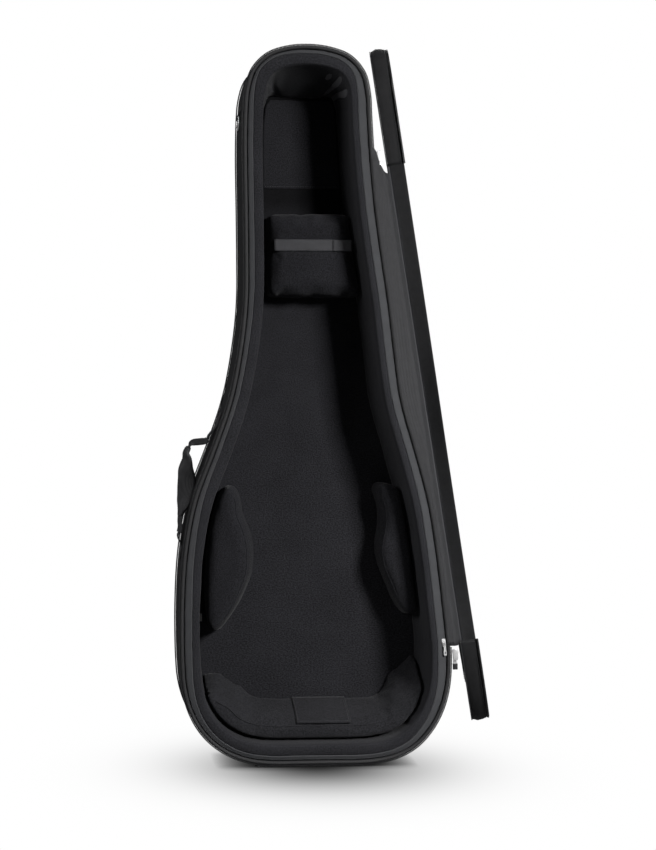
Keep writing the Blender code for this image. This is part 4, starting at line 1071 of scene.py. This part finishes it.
def drawn_in(loop, distance):
    """Closed loop of (x, z) moved inwards."""
    p = np.array(loop, float)
    ahead = unit(np.roll(p, -1, axis=0) - np.roll(p, 1, axis=0))
    q = np.roll(p, -1, axis=0)
    turn = np.sign((p[:, 0] * q[:, 1] - q[:, 0] * p[:, 1]).sum())
    return p + turn * distance * np.stack([-ahead[:, 1], ahead[:, 0]], axis=1)


def kept_between(p, inset, back, front):
    """Keeps points off the walls, the floor and a front plane."""
    p = p.copy()
    for i, (x, y, z) in enumerate(p):
        p[i, 0] = min(max(x, edge_x(-1, z, inset)), edge_x(1, z, inset))
    p[:, 1] = np.clip(p[:, 1], front, back)
    return p


# %% Neck cushion and its strap
WALL_IN = WALL + 0.0084
BLOCK_FRONT_Y = RIM_Y + 0.048
STRAP_Z = 0.902
block_gap = WALL_IN + 0.0014
BLOCK_X = 0.004
block = []
for k, z in enumerate(np.linspace(0.8135, 0.9565, 9)):
    pinch = 0.004 if k in (0, 8) else 0.0
    block.append((edge_x(1, z, block_gap) - pinch, z))
for k, x in enumerate(np.linspace(0.05, -0.05, 7)):
    block.append((x, 0.9575 + 0.0014 * math.sin(2.6 * k + 0.4)))
for k, z in enumerate(np.linspace(0.9565, 0.8135, 9)):
    pinch = 0.004 if k in (0, 8) else 0.0
    block.append((edge_x(-1, z, block_gap) + pinch, z))
for k, x in enumerate(np.linspace(-0.056, 0.056, 7)):
    block.append((x, 0.8125 + 0.0016 * math.sin(2.2 * k + 1.1)))
block = [(x + BLOCK_X, z) for x, z in block]
block_form = bag([(block, SEAT_Y), (drawn_in(block, 0.0005), 0.01),
                  (drawn_in(block, 0.001), -0.001), (drawn_in(block, 0.003), -0.0062),
                  (drawn_in(block, 0.0075), -0.0085)], 120)


def block_limit(p):
    """The cushion swells above and below its strap, which holds it flat."""
    p = kept_between(p, WALL_IN + 0.0006, SEAT_Y, -1.0)
    rise = 0.0034 * (1 - np.exp(-((p[:, 2] - STRAP_Z) / 0.02) ** 2))
    p[:, 1] = np.maximum(p[:, 1], BLOCK_FRONT_Y - rise)
    return p


stuffed("neck_cushion", block_form, PAD_CLOTH, "neck_rest", ["neck_block"], 0.0045, 4.0, 0.006,
        block_limit)
strap_y = BLOCK_FRONT_Y - 0.0012
strap_left = edge_x(-1, STRAP_Z) + WALL_IN + 0.0145
strap_right = edge_x(1, STRAP_Z) - WALL_IN - 0.003
lap = strap_right - 0.034
strap_path = [(x, strap_y + 0.0003 * math.sin(x * 90), STRAP_Z - 0.0006)
              for x in np.linspace(strap_left, lap + 0.004, 24)]
piece("neck_strap_tape", strap(strap_path, 0.021, 0.0015, (0, 0, 1)), STRAP_CLOTH, "neck_rest",
      ["neck_strap"])
end_path = [(x, strap_y - 0.0012, STRAP_Z - 0.001) for x in np.linspace(lap, strap_right, 12)]
piece("neck_strap_lap", strap(end_path, 0.0205, 0.0013, (0, 0, 1)), STRAP_CLOTH, "neck_rest",
      ["neck_strap_end"])
lap_x = [lap + 0.003, lap + 0.011]
bar = [([(x, strap_y - 0.0019, z) for z in np.linspace(STRAP_Z - 0.009, STRAP_Z + 0.007, 6)],
        (0, -1, 0), False) for x in lap_x]
edge_bar = [([(x, strap_y - 0.0009, STRAP_Z + s * 0.0085) for x in np.linspace(strap_left + 0.003,
                                                                              lap - 0.002, 12)],
             (0, -1, 0), False) for s in (-1, 1)]
stitch_rows("neck_stitches", bar + edge_bar, "neck_rest", pitch=0.003, size=(0.0022, 0.0006))

# %% Waist pads
PAD_FRONT_Y = RIM_Y + 0.043
left_wall = [(-0.1745, 0.228), (-0.1815, 0.2434), (-0.1853, 0.2745), (-0.1851, 0.3158),
             (-0.1821, 0.3641), (-0.1775, 0.4055), (-0.1695, 0.4365), (-0.1595, 0.465)]
left_foot = [(-0.1422, 0.482), (-0.1262, 0.477), (-0.1171, 0.459), (-0.1136, 0.4338),
             (-0.1049, 0.4128), (-0.0962, 0.3883), (-0.0934, 0.3569), (-0.0962, 0.3254),
             (-0.1067, 0.2975), (-0.1206, 0.2695), (-0.1399, 0.2415), (-0.1573, 0.2223)]
left_front = [(-0.1488, 0.479), (-0.1378, 0.472), (-0.1318, 0.454), (-0.1293, 0.433),
              (-0.1213, 0.412), (-0.1138, 0.387), (-0.1113, 0.3569), (-0.1138, 0.327),
              (-0.1233, 0.2995), (-0.1358, 0.272), (-0.1528, 0.245), (-0.1648, 0.23)]
right_wall = [(0.1913, 0.26), (0.1928, 0.2745), (0.1903, 0.302), (0.1873, 0.3365), (0.182, 0.3779),
              (0.175, 0.4193), (0.1658, 0.4538), (0.1553, 0.4779)]
right_foot = [(0.1268, 0.487), (0.1148, 0.48), (0.114, 0.469), (0.1223, 0.4427), (0.1237, 0.4146),
              (0.1195, 0.3864), (0.1188, 0.3617), (0.1248, 0.3371), (0.1371, 0.306),
              (0.1494, 0.2772), (0.1617, 0.2578), (0.1738, 0.249)]
right_front = [(0.1283, 0.486), (0.1213, 0.48), (0.1218, 0.47), (0.1292, 0.44), (0.1303, 0.412),
               (0.125, 0.383), (0.124, 0.36), (0.1292, 0.334), (0.1413, 0.3055), (0.1506, 0.2814),
               (0.1603, 0.264), (0.1733, 0.254)]
waist = {}
for word, foot, front, wall_side in (("left", left_foot, left_front, left_wall),
                                     ("right", right_foot, right_front, right_wall)):
    foot_loop = drawn_in(foot + wall_side, 0.001)
    front_loop = drawn_in(front + wall_side, 0.001)
    middle = 0.35 * foot_loop + 0.65 * front_loop
    form = bag([(foot_loop, SEAT_Y), (0.8 * foot_loop + 0.2 * front_loop, 0.024),
                (middle, PAD_FRONT_Y + 0.014), (front_loop, PAD_FRONT_Y + 0.0045),
                (drawn_in(front_loop, 0.004), PAD_FRONT_Y + 0.0008)], 96)
    waist[word] = stuffed(
        "waist_cushion_" + word, form, PAD_CLOTH, "tub", ["waist_pad_" + word], 0.0045, 4.0,
        0.005, lambda p: kept_between(p, WALL_IN + 0.0006, SEAT_Y, PAD_FRONT_Y - 0.002))
    run = smooth_path([(x, PAD_FRONT_Y + 0.003, z) for x, z in front], 50)
    welt = snug(waist[word], run, 0.0001)
    piece("waist_welt_" + word, rod(smooth_path(welt[::5], 60), 0.0008, 8), PAD_CLOTH, "tub")

# %% End cushion and its flap
CUSHION_FRONT_Y = RIM_Y + 0.021
first, last = place_at(-1, 0.142), place_at(1, 0.178) + KNOTS
if last - first > KNOTS:
    last -= KNOTS
wall_front = WALL + 0.003
u_section = [(wall_front + 0.0006, 0.0, CUSHION_FRONT_Y + 0.002), (wall_front + 0.004, 0.0, 0.0),
             (WALL_IN + 0.001, 0.0, SEAT_Y), (WALL_IN + 0.001, 0.054, SEAT_Y),
             (WALL_IN - 0.001, 0.048, 0.022), (wall_front + 0.001, 0.036, -0.012),
             (wall_front, 0.025, CUSHION_FRONT_Y + 0.0036),
             (wall_front, 0.0195, CUSHION_FRONT_Y + 0.0002),
             (wall_front, 0.005, CUSHION_FRONT_Y + 0.0004)]
knot_rows = []
for inset, wide, y in u_section:
    near = (SEAT_Y - y) / (SEAT_Y - CUSHION_FRONT_Y)
    u_places = np.linspace(first + 0.95 * near, last - 1.0 * near, 110)
    run = run_lengths(ring(u_places, 0.05, y))
    from_left = 0.45 - 0.25 * near + run / (0.091 - 0.047 * near)
    from_right = 0.33 - 0.25 * near + (run[-1] - run) / (0.06 + 0.035 * near)
    swell = np.minimum(1.0, np.minimum(from_left, from_right))
    row = ring(u_places, inset, y, push=wide * swell)
    row[:, 0] += 0.0085 * (1 - near) * (wide > 0.03)
    knot_rows.append(row)
u_form = close_up(sew(np.array(knot_rows).transpose(1, 0, 2), tube=True))


def u_limit(p):
    """Keeps the end cushion within its space."""
    p = p.copy()
    p[:, 1] = np.clip(p[:, 1], CUSHION_FRONT_Y - 0.0012, SEAT_Y)
    return p


end_pad = stuffed("end_pad", u_form, CUSHION_CLOTH_PAINTED_LIGHT, "tub", ["end_cushion"], 0.005, 3.0, 0.0028,
                  u_limit)
crease = knot_rows[6][4:-4:6]
welt = snug(end_pad, smooth_path(crease, 90), 0.0002)
piece("end_welt", rod(smooth_path(welt[::6], 120), 0.0009, 8), CUSHION_CLOTH_PAINTED_LIGHT, "tub")
base_z = 0.005
back_edge = Vector((0.0, FLOOR_Y - GAP, base_z + WALL_IN + 0.054))
front_edge = Vector((0.0, CUSHION_FRONT_Y + 0.003, base_z + wall_front + 0.0256))
slope = (front_edge - back_edge).normalized()
lift = Vector((0.0, slope.z, -slope.y)).normalized()
if lift.z < 0:
    lift = -lift
start = back_edge + slope * 0.004 + lift * 0.0014
flap_run = [start + (front_edge - slope * 0.002 + lift * 0.0014 - start) * t
            + Vector((0.0185, 0.0, 0.0))
            + lift * (0.0016 + 0.0016 * math.sin(math.pi * t)) for t in np.linspace(0, 1, 20)]
piece("flap_cloth", strap(flap_run, 0.096, 0.0016, (1, 0, 0), count=40), CUSHION_CLOTH_PAINTED_LIGHT,
      "end_flap", ["end_flap"])
hem = []
for s in (-1, 1):
    hem += [(Vector(p) + Vector((s * 0.0445, 0, 0)) + lift * 0.0011) for p in flap_run[1:-1]][::-s]
stitch_rows("flap_stitches", [(hem[:18], lift, False), (hem[18:], lift, False),
                              ([flap_run[-2] + Vector((x, 0, 0)) + lift * 0.0011
                                for x in np.linspace(-0.043, 0.043, 12)], lift, False)],
            "end_flap", pitch=0.0036, size=(0.0026, 0.0007))

# %% Head patch and size label
HEAD_LINE_Z = 1.007
patch_front = FLOOR_Y - 0.0022
piece("head_patch_cloth", panel(
    heights_between(HEAD_LINE_Z, 1.164, 36), side_line(-1, WALL + 0.003, 1.0),
    side_line(1, WALL + 0.003, 1.0), uneven_at(patch_front, 0.0004, 0.06, 81),
    level(FLOOR_Y - 0.0002)), FLEECE, "tub", ["head_patch"])
seam_ends = [edge_x(side, 1.0155, WALL + 0.014) for side in (-1, 1)]
patch_seam = [(x, patch_front - 0.0004, HEAD_LINE_Z + 0.0035) for x in np.linspace(*seam_ends, 30)]
stitch_rows("patch_stitches", [(patch_seam, (0, -1, 0), False)], "tub", size=(0.0028, 0.0006))
tag_x = edge_x(-1, 0.247, WALL + 0.0062)
tag_run = [(tag_x - 0.001, 0.032, 0.247), (tag_x + 0.0018, 0.03, 0.247),
           (tag_x + 0.0042, 0.0275, 0.247)]
piece("wall_tag", strap(smooth_path(tag_run, 8), 0.014, 0.0006, (0, 0, 1)), LABEL, "tub")

# %% [markdown]
# ## Outside: handle, straps and loops
# Everything sewn on outside is webbing or padded strap, modelled flat and bent along its path, with
# its stitches. The handle's padded grip is twisted where it has been carried for years.

# %% Carry handle
HANDLE_LOW_Z, HANDLE_HIGH_Z = 0.398, 0.56
low = np.array([edge_x(-1, HANDLE_LOW_Z), HANDLE_LOW_Z])
high = np.array([edge_x(-1, HANDLE_HIGH_Z), HANDLE_HIGH_Z])
reach = high - low
span = float(np.linalg.norm(reach))
out = np.array([-reach[1], reach[0]]) / span
near = EDGE[(EDGE[:, 1] > 0.368) & (EDGE[:, 1] < 0.59) & (EDGE[:, 0] < 0)]
base = low + out * (max((near - low) @ out) + 0.0022 + GAP)


def at(t, rise, y=0.0):
    """Point along the handle's line, raised off the side."""
    q = base + reach * t + out * rise
    return (q[0], y, q[1])


top_run = [at(1.0, 0.0), (-0.186, 0.0, 0.5596), (-0.196, 0.0, 0.5582), (-0.205, 0.0, 0.5572),
           (-0.211, 0.0, 0.554), (-0.214, 0.0, 0.547)]
low_run = [at(0.0, 0.0), (-0.2292, 0.0, 0.41), (-0.2297, 0.0, 0.42), (-0.229, 0.0, 0.433)]
lean = math.radians(28)
piece("handle_strap_top", strap(smooth_path(top_run, 24), 0.025, 0.0021,
                                (math.sin(lean) * 0.3, math.cos(lean), math.sin(lean))),
      WEBBING, "handle", ["handle_webbing_top"])
piece("handle_strap_low", strap(smooth_path(low_run, 18), 0.025, 0.0024,
                                (-math.sin(lean * 0.5), math.cos(lean * 0.5), 0.0)),
      WEBBING, "handle", ["handle_webbing_low"])
grip_line = [(-0.213, 0.0, 0.5515), (-0.219, 0.0, 0.54), (-0.2172, 0.0, 0.528), (-0.219, 0.0, 0.51),
             (-0.2175, 0.0, 0.49), (-0.22, 0.0, 0.47), (-0.2235, 0.0, 0.45), (-0.227, 0.0, 0.438),
             (-0.229, 0.0, 0.429)]
grip_width = [0.024, 0.027, 0.033, 0.036, 0.037, 0.036, 0.034, 0.028, 0.024]
grip_turn = [8, 10, 22, 45, 60, 52, 36, 16, 4]
grip_data = smooth_path([(*p, w, t) for p, w, t in zip(grip_line, grip_width, grip_turn)], 60)
grip_path, width, turn = grip_data[:, :3], grip_data[:, 3], np.radians(grip_data[:, 4])
across = np.stack([-np.sin(turn), np.cos(turn), np.zeros(60)], axis=1)
pucker = 0.0004 * np.sin(np.linspace(0, 40, 60))
grip = piece("handle_pad", strap(grip_path, width - 0.001 + pucker, 0.0056, across, 0.45, 0.0021,
                                 22), GRIP, "handle", ["handle_grip"])
soften(grip)
over = np.cross(across, unit(np.gradient(grip_path, axis=0)))
rows = []
for s in (-1, 1):
    for face in (-1, 1):
        edge_line = grip_path + across * (s * (width / 2 - 0.0042))[:, None] + over * face * 0.0034
        rows.append((edge_line[4:-4], over[4:-4] * face, False))
stitch_rows("handle_stitches", rows, "handle", pitch=0.004, size=(0.003, 0.0007))
for name, t, step in (("top", 1.0, 1), ("low", 0.0, -1)):
    z = at(t, 0.0)[2]
    run = []
    for far in (0.046, 0.034, 0.022):
        here = np.array([edge_x(-1, z + step * far), z + step * far])
        there = np.array([edge_x(-1, z + step * far + 0.004), z + step * far + 0.004])
        rise_way = (there - here) / np.linalg.norm(there - here)
        spot_2d = here + np.array([-rise_way[1], rise_way[0]]) * (0.0016 + GAP)
        run.append((spot_2d[0], 0.0, spot_2d[1]))
    run += [at(t + step * 0.045, 0.0), at(t + step * GAP / span, 0.0)]
    path_3d = smooth_path(run, 20)
    piece("handle_mount_" + name, strap(path_3d, 0.03, 0.0022, (0, 1, 0)), WEBBING, "tub",
          ["handle_anchor_" + name])
    seams = []
    for y in (-0.0125, 0.0125):
        seams.append((path_3d[1:15] + np.array([-0.0013, y, 0.0]), (-1, 0, 0), False))
    for k in (1, 14):
        seams.append(([path_3d[k] + np.array([-0.0013, y, 0.0])
                       for y in np.linspace(-0.012, 0.012, 6)], (-1, 0, 0), False))
    stitch_rows("mount_stitches_" + name, seams, "tub", pitch=0.0034, size=(0.0025, 0.0007))

# %% Shoulder straps
BACK_AT = BACK_Y + GAP


def sewn_patch(name, centre, wide, tall, thick, node_name):
    """Square of webbing with a row of stitches round it and a cross over it."""
    x, y, z = centre
    run = [(x + wide / 2 * t, y, z) for t in np.linspace(-1, 1, 12)]
    piece(name, strap(run, tall, thick, (0, 0, 1), count=16), WEBBING, "tub", [node_name])
    a, b, y_out = wide / 2 - 0.004, tall / 2 - 0.004, y + thick / 2 + 0.0001
    corners = [(x - a, y_out, z - b), (x + a, y_out, z - b), (x + a, y_out, z + b),
               (x - a, y_out, z + b)]
    seams = [(corners, (0, 1, 0), True), ([corners[0], corners[2]], (0, 1, 0), False),
             ([corners[1], corners[3]], (0, 1, 0), False)]
    stitch_rows(name + "_stitches", seams, "tub", pitch=0.0034, size=(0.0025, 0.0007))


sewn_patch("strap_yoke_web", (0.0, BACK_AT + 0.0015, 0.952), 0.19, 0.036, 0.003, "strap_yoke")


def plate(loops, low_y, high_y, bevel_width):
    """Flat plate in the x-z plane with holes, from low_y to high_y, its rims rounded."""
    bm = bmesh.new()
    edges = []
    for loop in loops:
        verts = [bm.verts.new((x, low_y, z)) for x, z in loop]
        edges += [bm.edges.new(pair) for pair in zip(verts, verts[1:] + verts[:1])]
    bmesh.ops.triangle_fill(bm, edges=edges, use_beauty=True)
    bmesh.ops.dissolve_limit(bm, angle_limit=0.01, verts=bm.verts, edges=bm.edges)
    made = bmesh.ops.extrude_face_region(bm, geom=bm.faces[:])["geom"]
    bmesh.ops.translate(bm, vec=(0.0, high_y - low_y, 0.0),
                        verts=[v for v in made if isinstance(v, bmesh.types.BMVert)])
    close_up(bm)
    rims = [e for e in bm.edges if len(e.link_faces) == 2 and e.calc_face_angle(0.0) > 0.9]
    bmesh.ops.bevel(bm, geom=rims, offset=bevel_width, segments=2, profile=0.6, affect="EDGES",
                    clamp_overlap=True, material=-1)
    return close_up(bm)


def buckle(frame_matrix, word):
    """Ladder buckle: a plate with two slots, its bars rounded."""
    loops = [[(-0.018, -0.014), (0.018, -0.014), (0.018, 0.014), (-0.018, 0.014)]]
    loops += [[(-0.014, y - 0.0018), (0.014, y - 0.0018), (0.014, y + 0.0018),
               (-0.014, y + 0.0018)] for y in (-0.0065, 0.0065)]
    solid = plate(loops, 0.0, 0.0032, 0.0006)
    bmesh.ops.transform(solid, matrix=frame_matrix, verts=solid.verts)
    sharpen(piece("ladder_buckle_" + word, solid, PLASTIC, "strap_adjuster_" + word,
                  ["strap_adjuster_" + word]))


STRAP_LINE = [(0.052, 0.0055, 0.931), (0.058, 0.013, 0.88), (0.07, 0.021, 0.79),
              (0.086, 0.023, 0.69), (0.101, 0.018, 0.59), (0.11, 0.009, 0.52),
              (0.114, 0.0055, 0.484)]
for side, word in ((-1, "left"), (1, "right")):
    line = smooth_path([(side * x, BACK_AT + y, z) for x, y, z in STRAP_LINE], 90)
    t = np.linspace(0, 1, 90)
    wide = 0.06 - 0.016 * np.clip(1 - np.minimum(t, 1 - t) / 0.05, 0, 1) ** 2
    puff = 0.005 - 0.0006 * np.cos(2 * math.pi * t * 9) ** 8
    padded_strap = piece("padded_strap_" + word, strap(line, wide, puff, (1, 0, 0), 0.4, 0.0022,
                                                       24), COVER, "tub",
                         ["shoulder_strap_" + word])
    soften(padded_strap)
    over_3d = np.cross(np.array([1.0, 0.0, 0.0]), unit(np.gradient(line, axis=0)))
    over_3d *= np.sign(over_3d[:, 1])[:, None]
    seams = []
    for s in (-1, 1):
        offset = np.stack([s * (wide / 2 - 0.005), np.zeros(90), np.zeros(90)], axis=1)
        seams.append(((line + offset + over_3d * 0.0036)[5:-5], over_3d[5:-5], False))
    stitch_rows("strap_stitches_" + word, seams, "tub")
    top = Vector((side * 0.115, BACK_AT + 0.0016, 0.476))
    bottom = Vector((side * 0.15, BACK_AT + 0.0016, 0.2))
    web_run = [top.lerp(bottom, k / 30) for k in range(31)]
    piece("lower_webbing_" + word, strap(web_run, 0.025, 0.0021, (1, 0, 0)), WEBBING, "tub",
          ["strap_webbing_" + word])
    along_web = (bottom - top).normalized()
    home = top.lerp(bottom, 0.22)
    tilt = Matrix.Rotation(math.atan2(-along_web.x, -along_web.z), 4, "Y")
    buckle(Matrix.Translation(home + Vector((0.0, 0.0011 + GAP, 0.0))) @ tilt, word)
    sewn_patch("strap_mount_" + word, (side * 0.152, BACK_AT + 0.0012, 0.182), 0.04, 0.03,
               0.0024, "strap_anchor_" + word)

# %% Hang loop, ring and foot
seat = BACK_AT + 0.0034 + GAP
loop_run = [(-0.036, seat, 1.19), (-0.027, seat, 1.19), (-0.02, BACK_AT + 0.015, 1.19),
            (-0.008, BACK_AT + 0.02, 1.19), (0.008, BACK_AT + 0.02, 1.19),
            (0.02, BACK_AT + 0.015, 1.19), (0.027, seat, 1.19), (0.036, seat, 1.19)]
piece("hang_loop_web", strap(smooth_path(loop_run, 50), 0.02, 0.0019, (0, 0, 1)), WEBBING,
      "tub", ["hang_loop"])
for side, word in ((-1, "left"), (1, "right")):
    sewn_patch("loop_end_" + word, (side * 0.038, BACK_AT + 0.0012, 1.19), 0.026, 0.024, 0.0024,
               "hang_loop_end_" + word)
RING_Z = 1.124
ring_x = edge_x(-1, RING_Z) - GAP - 0.004
loop = [(-0.011, 0.0), (0.011, 0.0), (0.0125, -0.005), (0.011, -0.014), (0.005, -0.02),
        (-0.005, -0.02), (-0.011, -0.014), (-0.0125, -0.005)]
wire = smooth_path([(ring_x, y, RING_Z + dz) for y, dz in loop], 64, True)
piece("metal_ring", rod(wire, 0.0012, 12, True), PLATED, "side_ring", ["side_ring"])
tab_run = [(edge_x(-1, RING_Z + up) - off, 0.0, RING_Z + up)
           for off, up in ((0.0012, 0.03), (0.0014, 0.014))]
tab_run += [(ring_x + off, 0.0, RING_Z + up)
            for off, up in ((-0.0008, 0.0044), (-0.0028, 0.0008), (-0.0022, -0.002), (0.0, -0.0028),
                            (0.0024, -0.001), (0.0026, 0.002))]
piece("ring_webbing", strap(smooth_path(tab_run, 40), 0.0176, 0.0014, (0, 1, 0)), WEBBING,
      "tub", ["ring_tab"])

# %% [markdown]
# The foot is a moulded rubber strip with fine cross ribs, and a thin lip that runs on behind under
# the piping.

# %% Rubber foot
FOOT_FRONT_Y, FOOT_BACK_Y = RIM_Y + 0.0067, 0.0545
foot_section = [(FOOT_FRONT_Y + 0.0006, 0.0), (0.059, 0.0), (0.0604, 0.0005), (0.0604, 0.0013),
                (0.0598, 0.0017), (FOOT_BACK_Y + 0.0004, 0.0017), (FOOT_BACK_Y - 0.0002, 0.003),
                (FOOT_BACK_Y - 0.001, 0.0044), (FOOT_FRONT_Y + 0.0012, 0.0044),
                (FOOT_FRONT_Y, 0.0038), (FOOT_FRONT_Y, 0.0006)]
rows = []
for x in np.linspace(-0.102, 0.102, 137):
    rib_in = 0.0004 * (math.sin(x * 2 * math.pi / 0.006) > 0.35)
    end_in = 0.0012 * max(0.0, (abs(x) - 0.0995) / 0.0025)
    rows.append([(x, y + (rib_in if y < 0 else 0.0) + (end_in if y < 0 else -end_in),
                  z + (rib_in * 0.5 if z == 0.0 else 0.0)) for y, z in foot_section])
sharpen(piece("rubber_foot", close_up(sew(rows, tube=True)), RUBBER, "tub", ["base_foot"]), 50)

# %% [markdown]
# ## Zip sliders
# Each slider is two shield-shaped plates joined by a post, with side flanges that hold the teeth
# together and a bridge for the pull. The pull is a stamped plate with an eye and a hole.


# %% Sliders and pulls
def both_sides(half):
    """Closed outline from its one half."""
    return half + [(-x, z) for x, z in reversed(half)]


def round_loop(cx, cz, rx, rz, count=16):
    """Closed round loop of (x, z)."""
    turns = [2 * math.pi * k / count for k in range(count)]
    return [(cx + rx * math.cos(t), cz + rz * math.sin(t)) for t in turns]


def dress_slider(word, home, along, outward, pose=None, scale=1.0, long=1.0):
    """Slider body and pull at a home place, in the slider's own frame: x across, y out, z up."""
    up = along.cross(outward)
    place = Matrix((up, outward, along)).transposed().to_4x4()
    place.translation = home
    place = place @ Matrix.Scale(scale, 4)
    if pose is not None:
        place = pose @ place
    shield = both_sides([(0.003, -0.0095), (0.0042, -0.0075), (0.0043, -0.0005),
                         (0.0052, 0.005), (0.0051, 0.008), (0.0036, 0.0095)])
    parts = [plate([shield], 0.0, 0.001, 0.0003), plate([shield], 0.0022, 0.0032, 0.0003)]
    parts.append(plate([[(-0.0012, 0.003), (0.0012, 0.003), (0.0015, 0.0085), (-0.0015, 0.0085)]],
                       0.0008, 0.0024, 0.0002))
    for s in (-1, 1):
        rail = [(s * 0.0034, -0.009), (s * 0.0043, -0.0078), (s * 0.0043, -0.0008),
                (s * 0.0035, -0.0008)]
        parts.append(plate([rail], 0.0008, 0.0013, 0.0001))
        parts.append(plate([rail], 0.0019, 0.0024, 0.0001))
    arch = smooth_path([(0.0, 0.0028, -0.0054), (0.0, 0.005, -0.005), (0.0, 0.0068, -0.0032),
                        (0.0, 0.0074, 0.0), (0.0, 0.0068, 0.0032), (0.0, 0.005, 0.005),
                        (0.0, 0.0028, 0.0054)], 26)
    parts.append(strap(arch, 0.0023, 0.0012, (1, 0, 0), count=8))
    body_name = word + "_slider"
    sharpen(piece(word + "_slider_body", merged(parts), PLATED, body_name, [body_name],
                  pose=place), 40)
    high = 0.0052
    outline = both_sides([(-0.0033, 0.0006 * long), (-0.0035, -0.006 * long),
                          (-0.003, -0.01 * long), (-0.0038, -0.015 * long),
                          (-0.0041, -0.0205 * long), (-0.0034, -0.0228 * long)])
    eye = [(-0.0017, -0.0008), (0.0017, -0.0008), (0.0019, -0.005), (0.0012, -0.0076),
           (-0.0012, -0.0076), (-0.0019, -0.005)]
    tab = plate([outline, eye, round_loop(0.0, -0.0178 * long, 0.0017, 0.0026)], high - 0.0007,
                high + 0.0007, 0.00025)
    sharpen(piece(word + "_pull_tab", tab, PLATED, word + "_pull", [word + "_pull"],
                  pose=place), 40)
    return place


def up_the_side(z):
    """Direction of the right side at a height."""
    a, b = (Vector((edge_x(1, z + step), 0.0, z + step)) for step in (-0.02, 0.02))
    return (b - a).normalized()


slider_places = {}
for word, z in (("upper", ZIP_HIGH_Z + 0.015), ("lower", ZIP_LOW_Z - 0.013)):
    x = edge_x(1, z) + 2 * 0.0013 + 2 * GAP + 0.0056
    slider_places[word] = dress_slider(word, Vector((x, INNER_FOLD_Y - 0.0008, z)), up_the_side(z),
                                Vector((0.0, 1.0, 0.0)))
z = 0.212
tilt = math.atan2(0.0074 - 0.0008, 0.015)
face_way = Vector((math.sin(tilt), -math.cos(tilt), 0.0))
rim_up = up_the_side(z)
face_way = (face_way - rim_up * face_way.dot(rim_up)).normalized()
home = Vector((edge_x(1, z, 0.0075 + 0.0044), RIM_Y + 0.0074 - 0.0044 * math.tan(tilt), z))
dress_slider("rim", home + face_way * 0.0008, rim_up, face_way, None, 0.72, 1.35)
coil_y = zip_y - 0.0008 - GAP - 0.0013
home = Vector((zip_x0 + 0.02, coil_y - 0.0013 - GAP, zip_z))
dress_slider("pocket", home, Vector((-1.0, 0.0, 0.0)), Vector((0.0, -1.0, 0.0)), LID_POSE)
sleeve = strap([(0.0, 0.0052, z) for z in np.linspace(-0.0262, -0.016, 14)], 0.0088, 0.003,
               (1, 0, 0), count=12)
piece("lower_pull_sleeve", sleeve, PLASTIC, "lower_pull",
      pose=slider_places["lower"])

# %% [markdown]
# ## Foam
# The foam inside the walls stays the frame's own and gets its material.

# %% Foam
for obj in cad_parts.values():
    if not obj.hide_render:
        obj.data.materials.clear()
        obj.data.materials.append(FOAM)
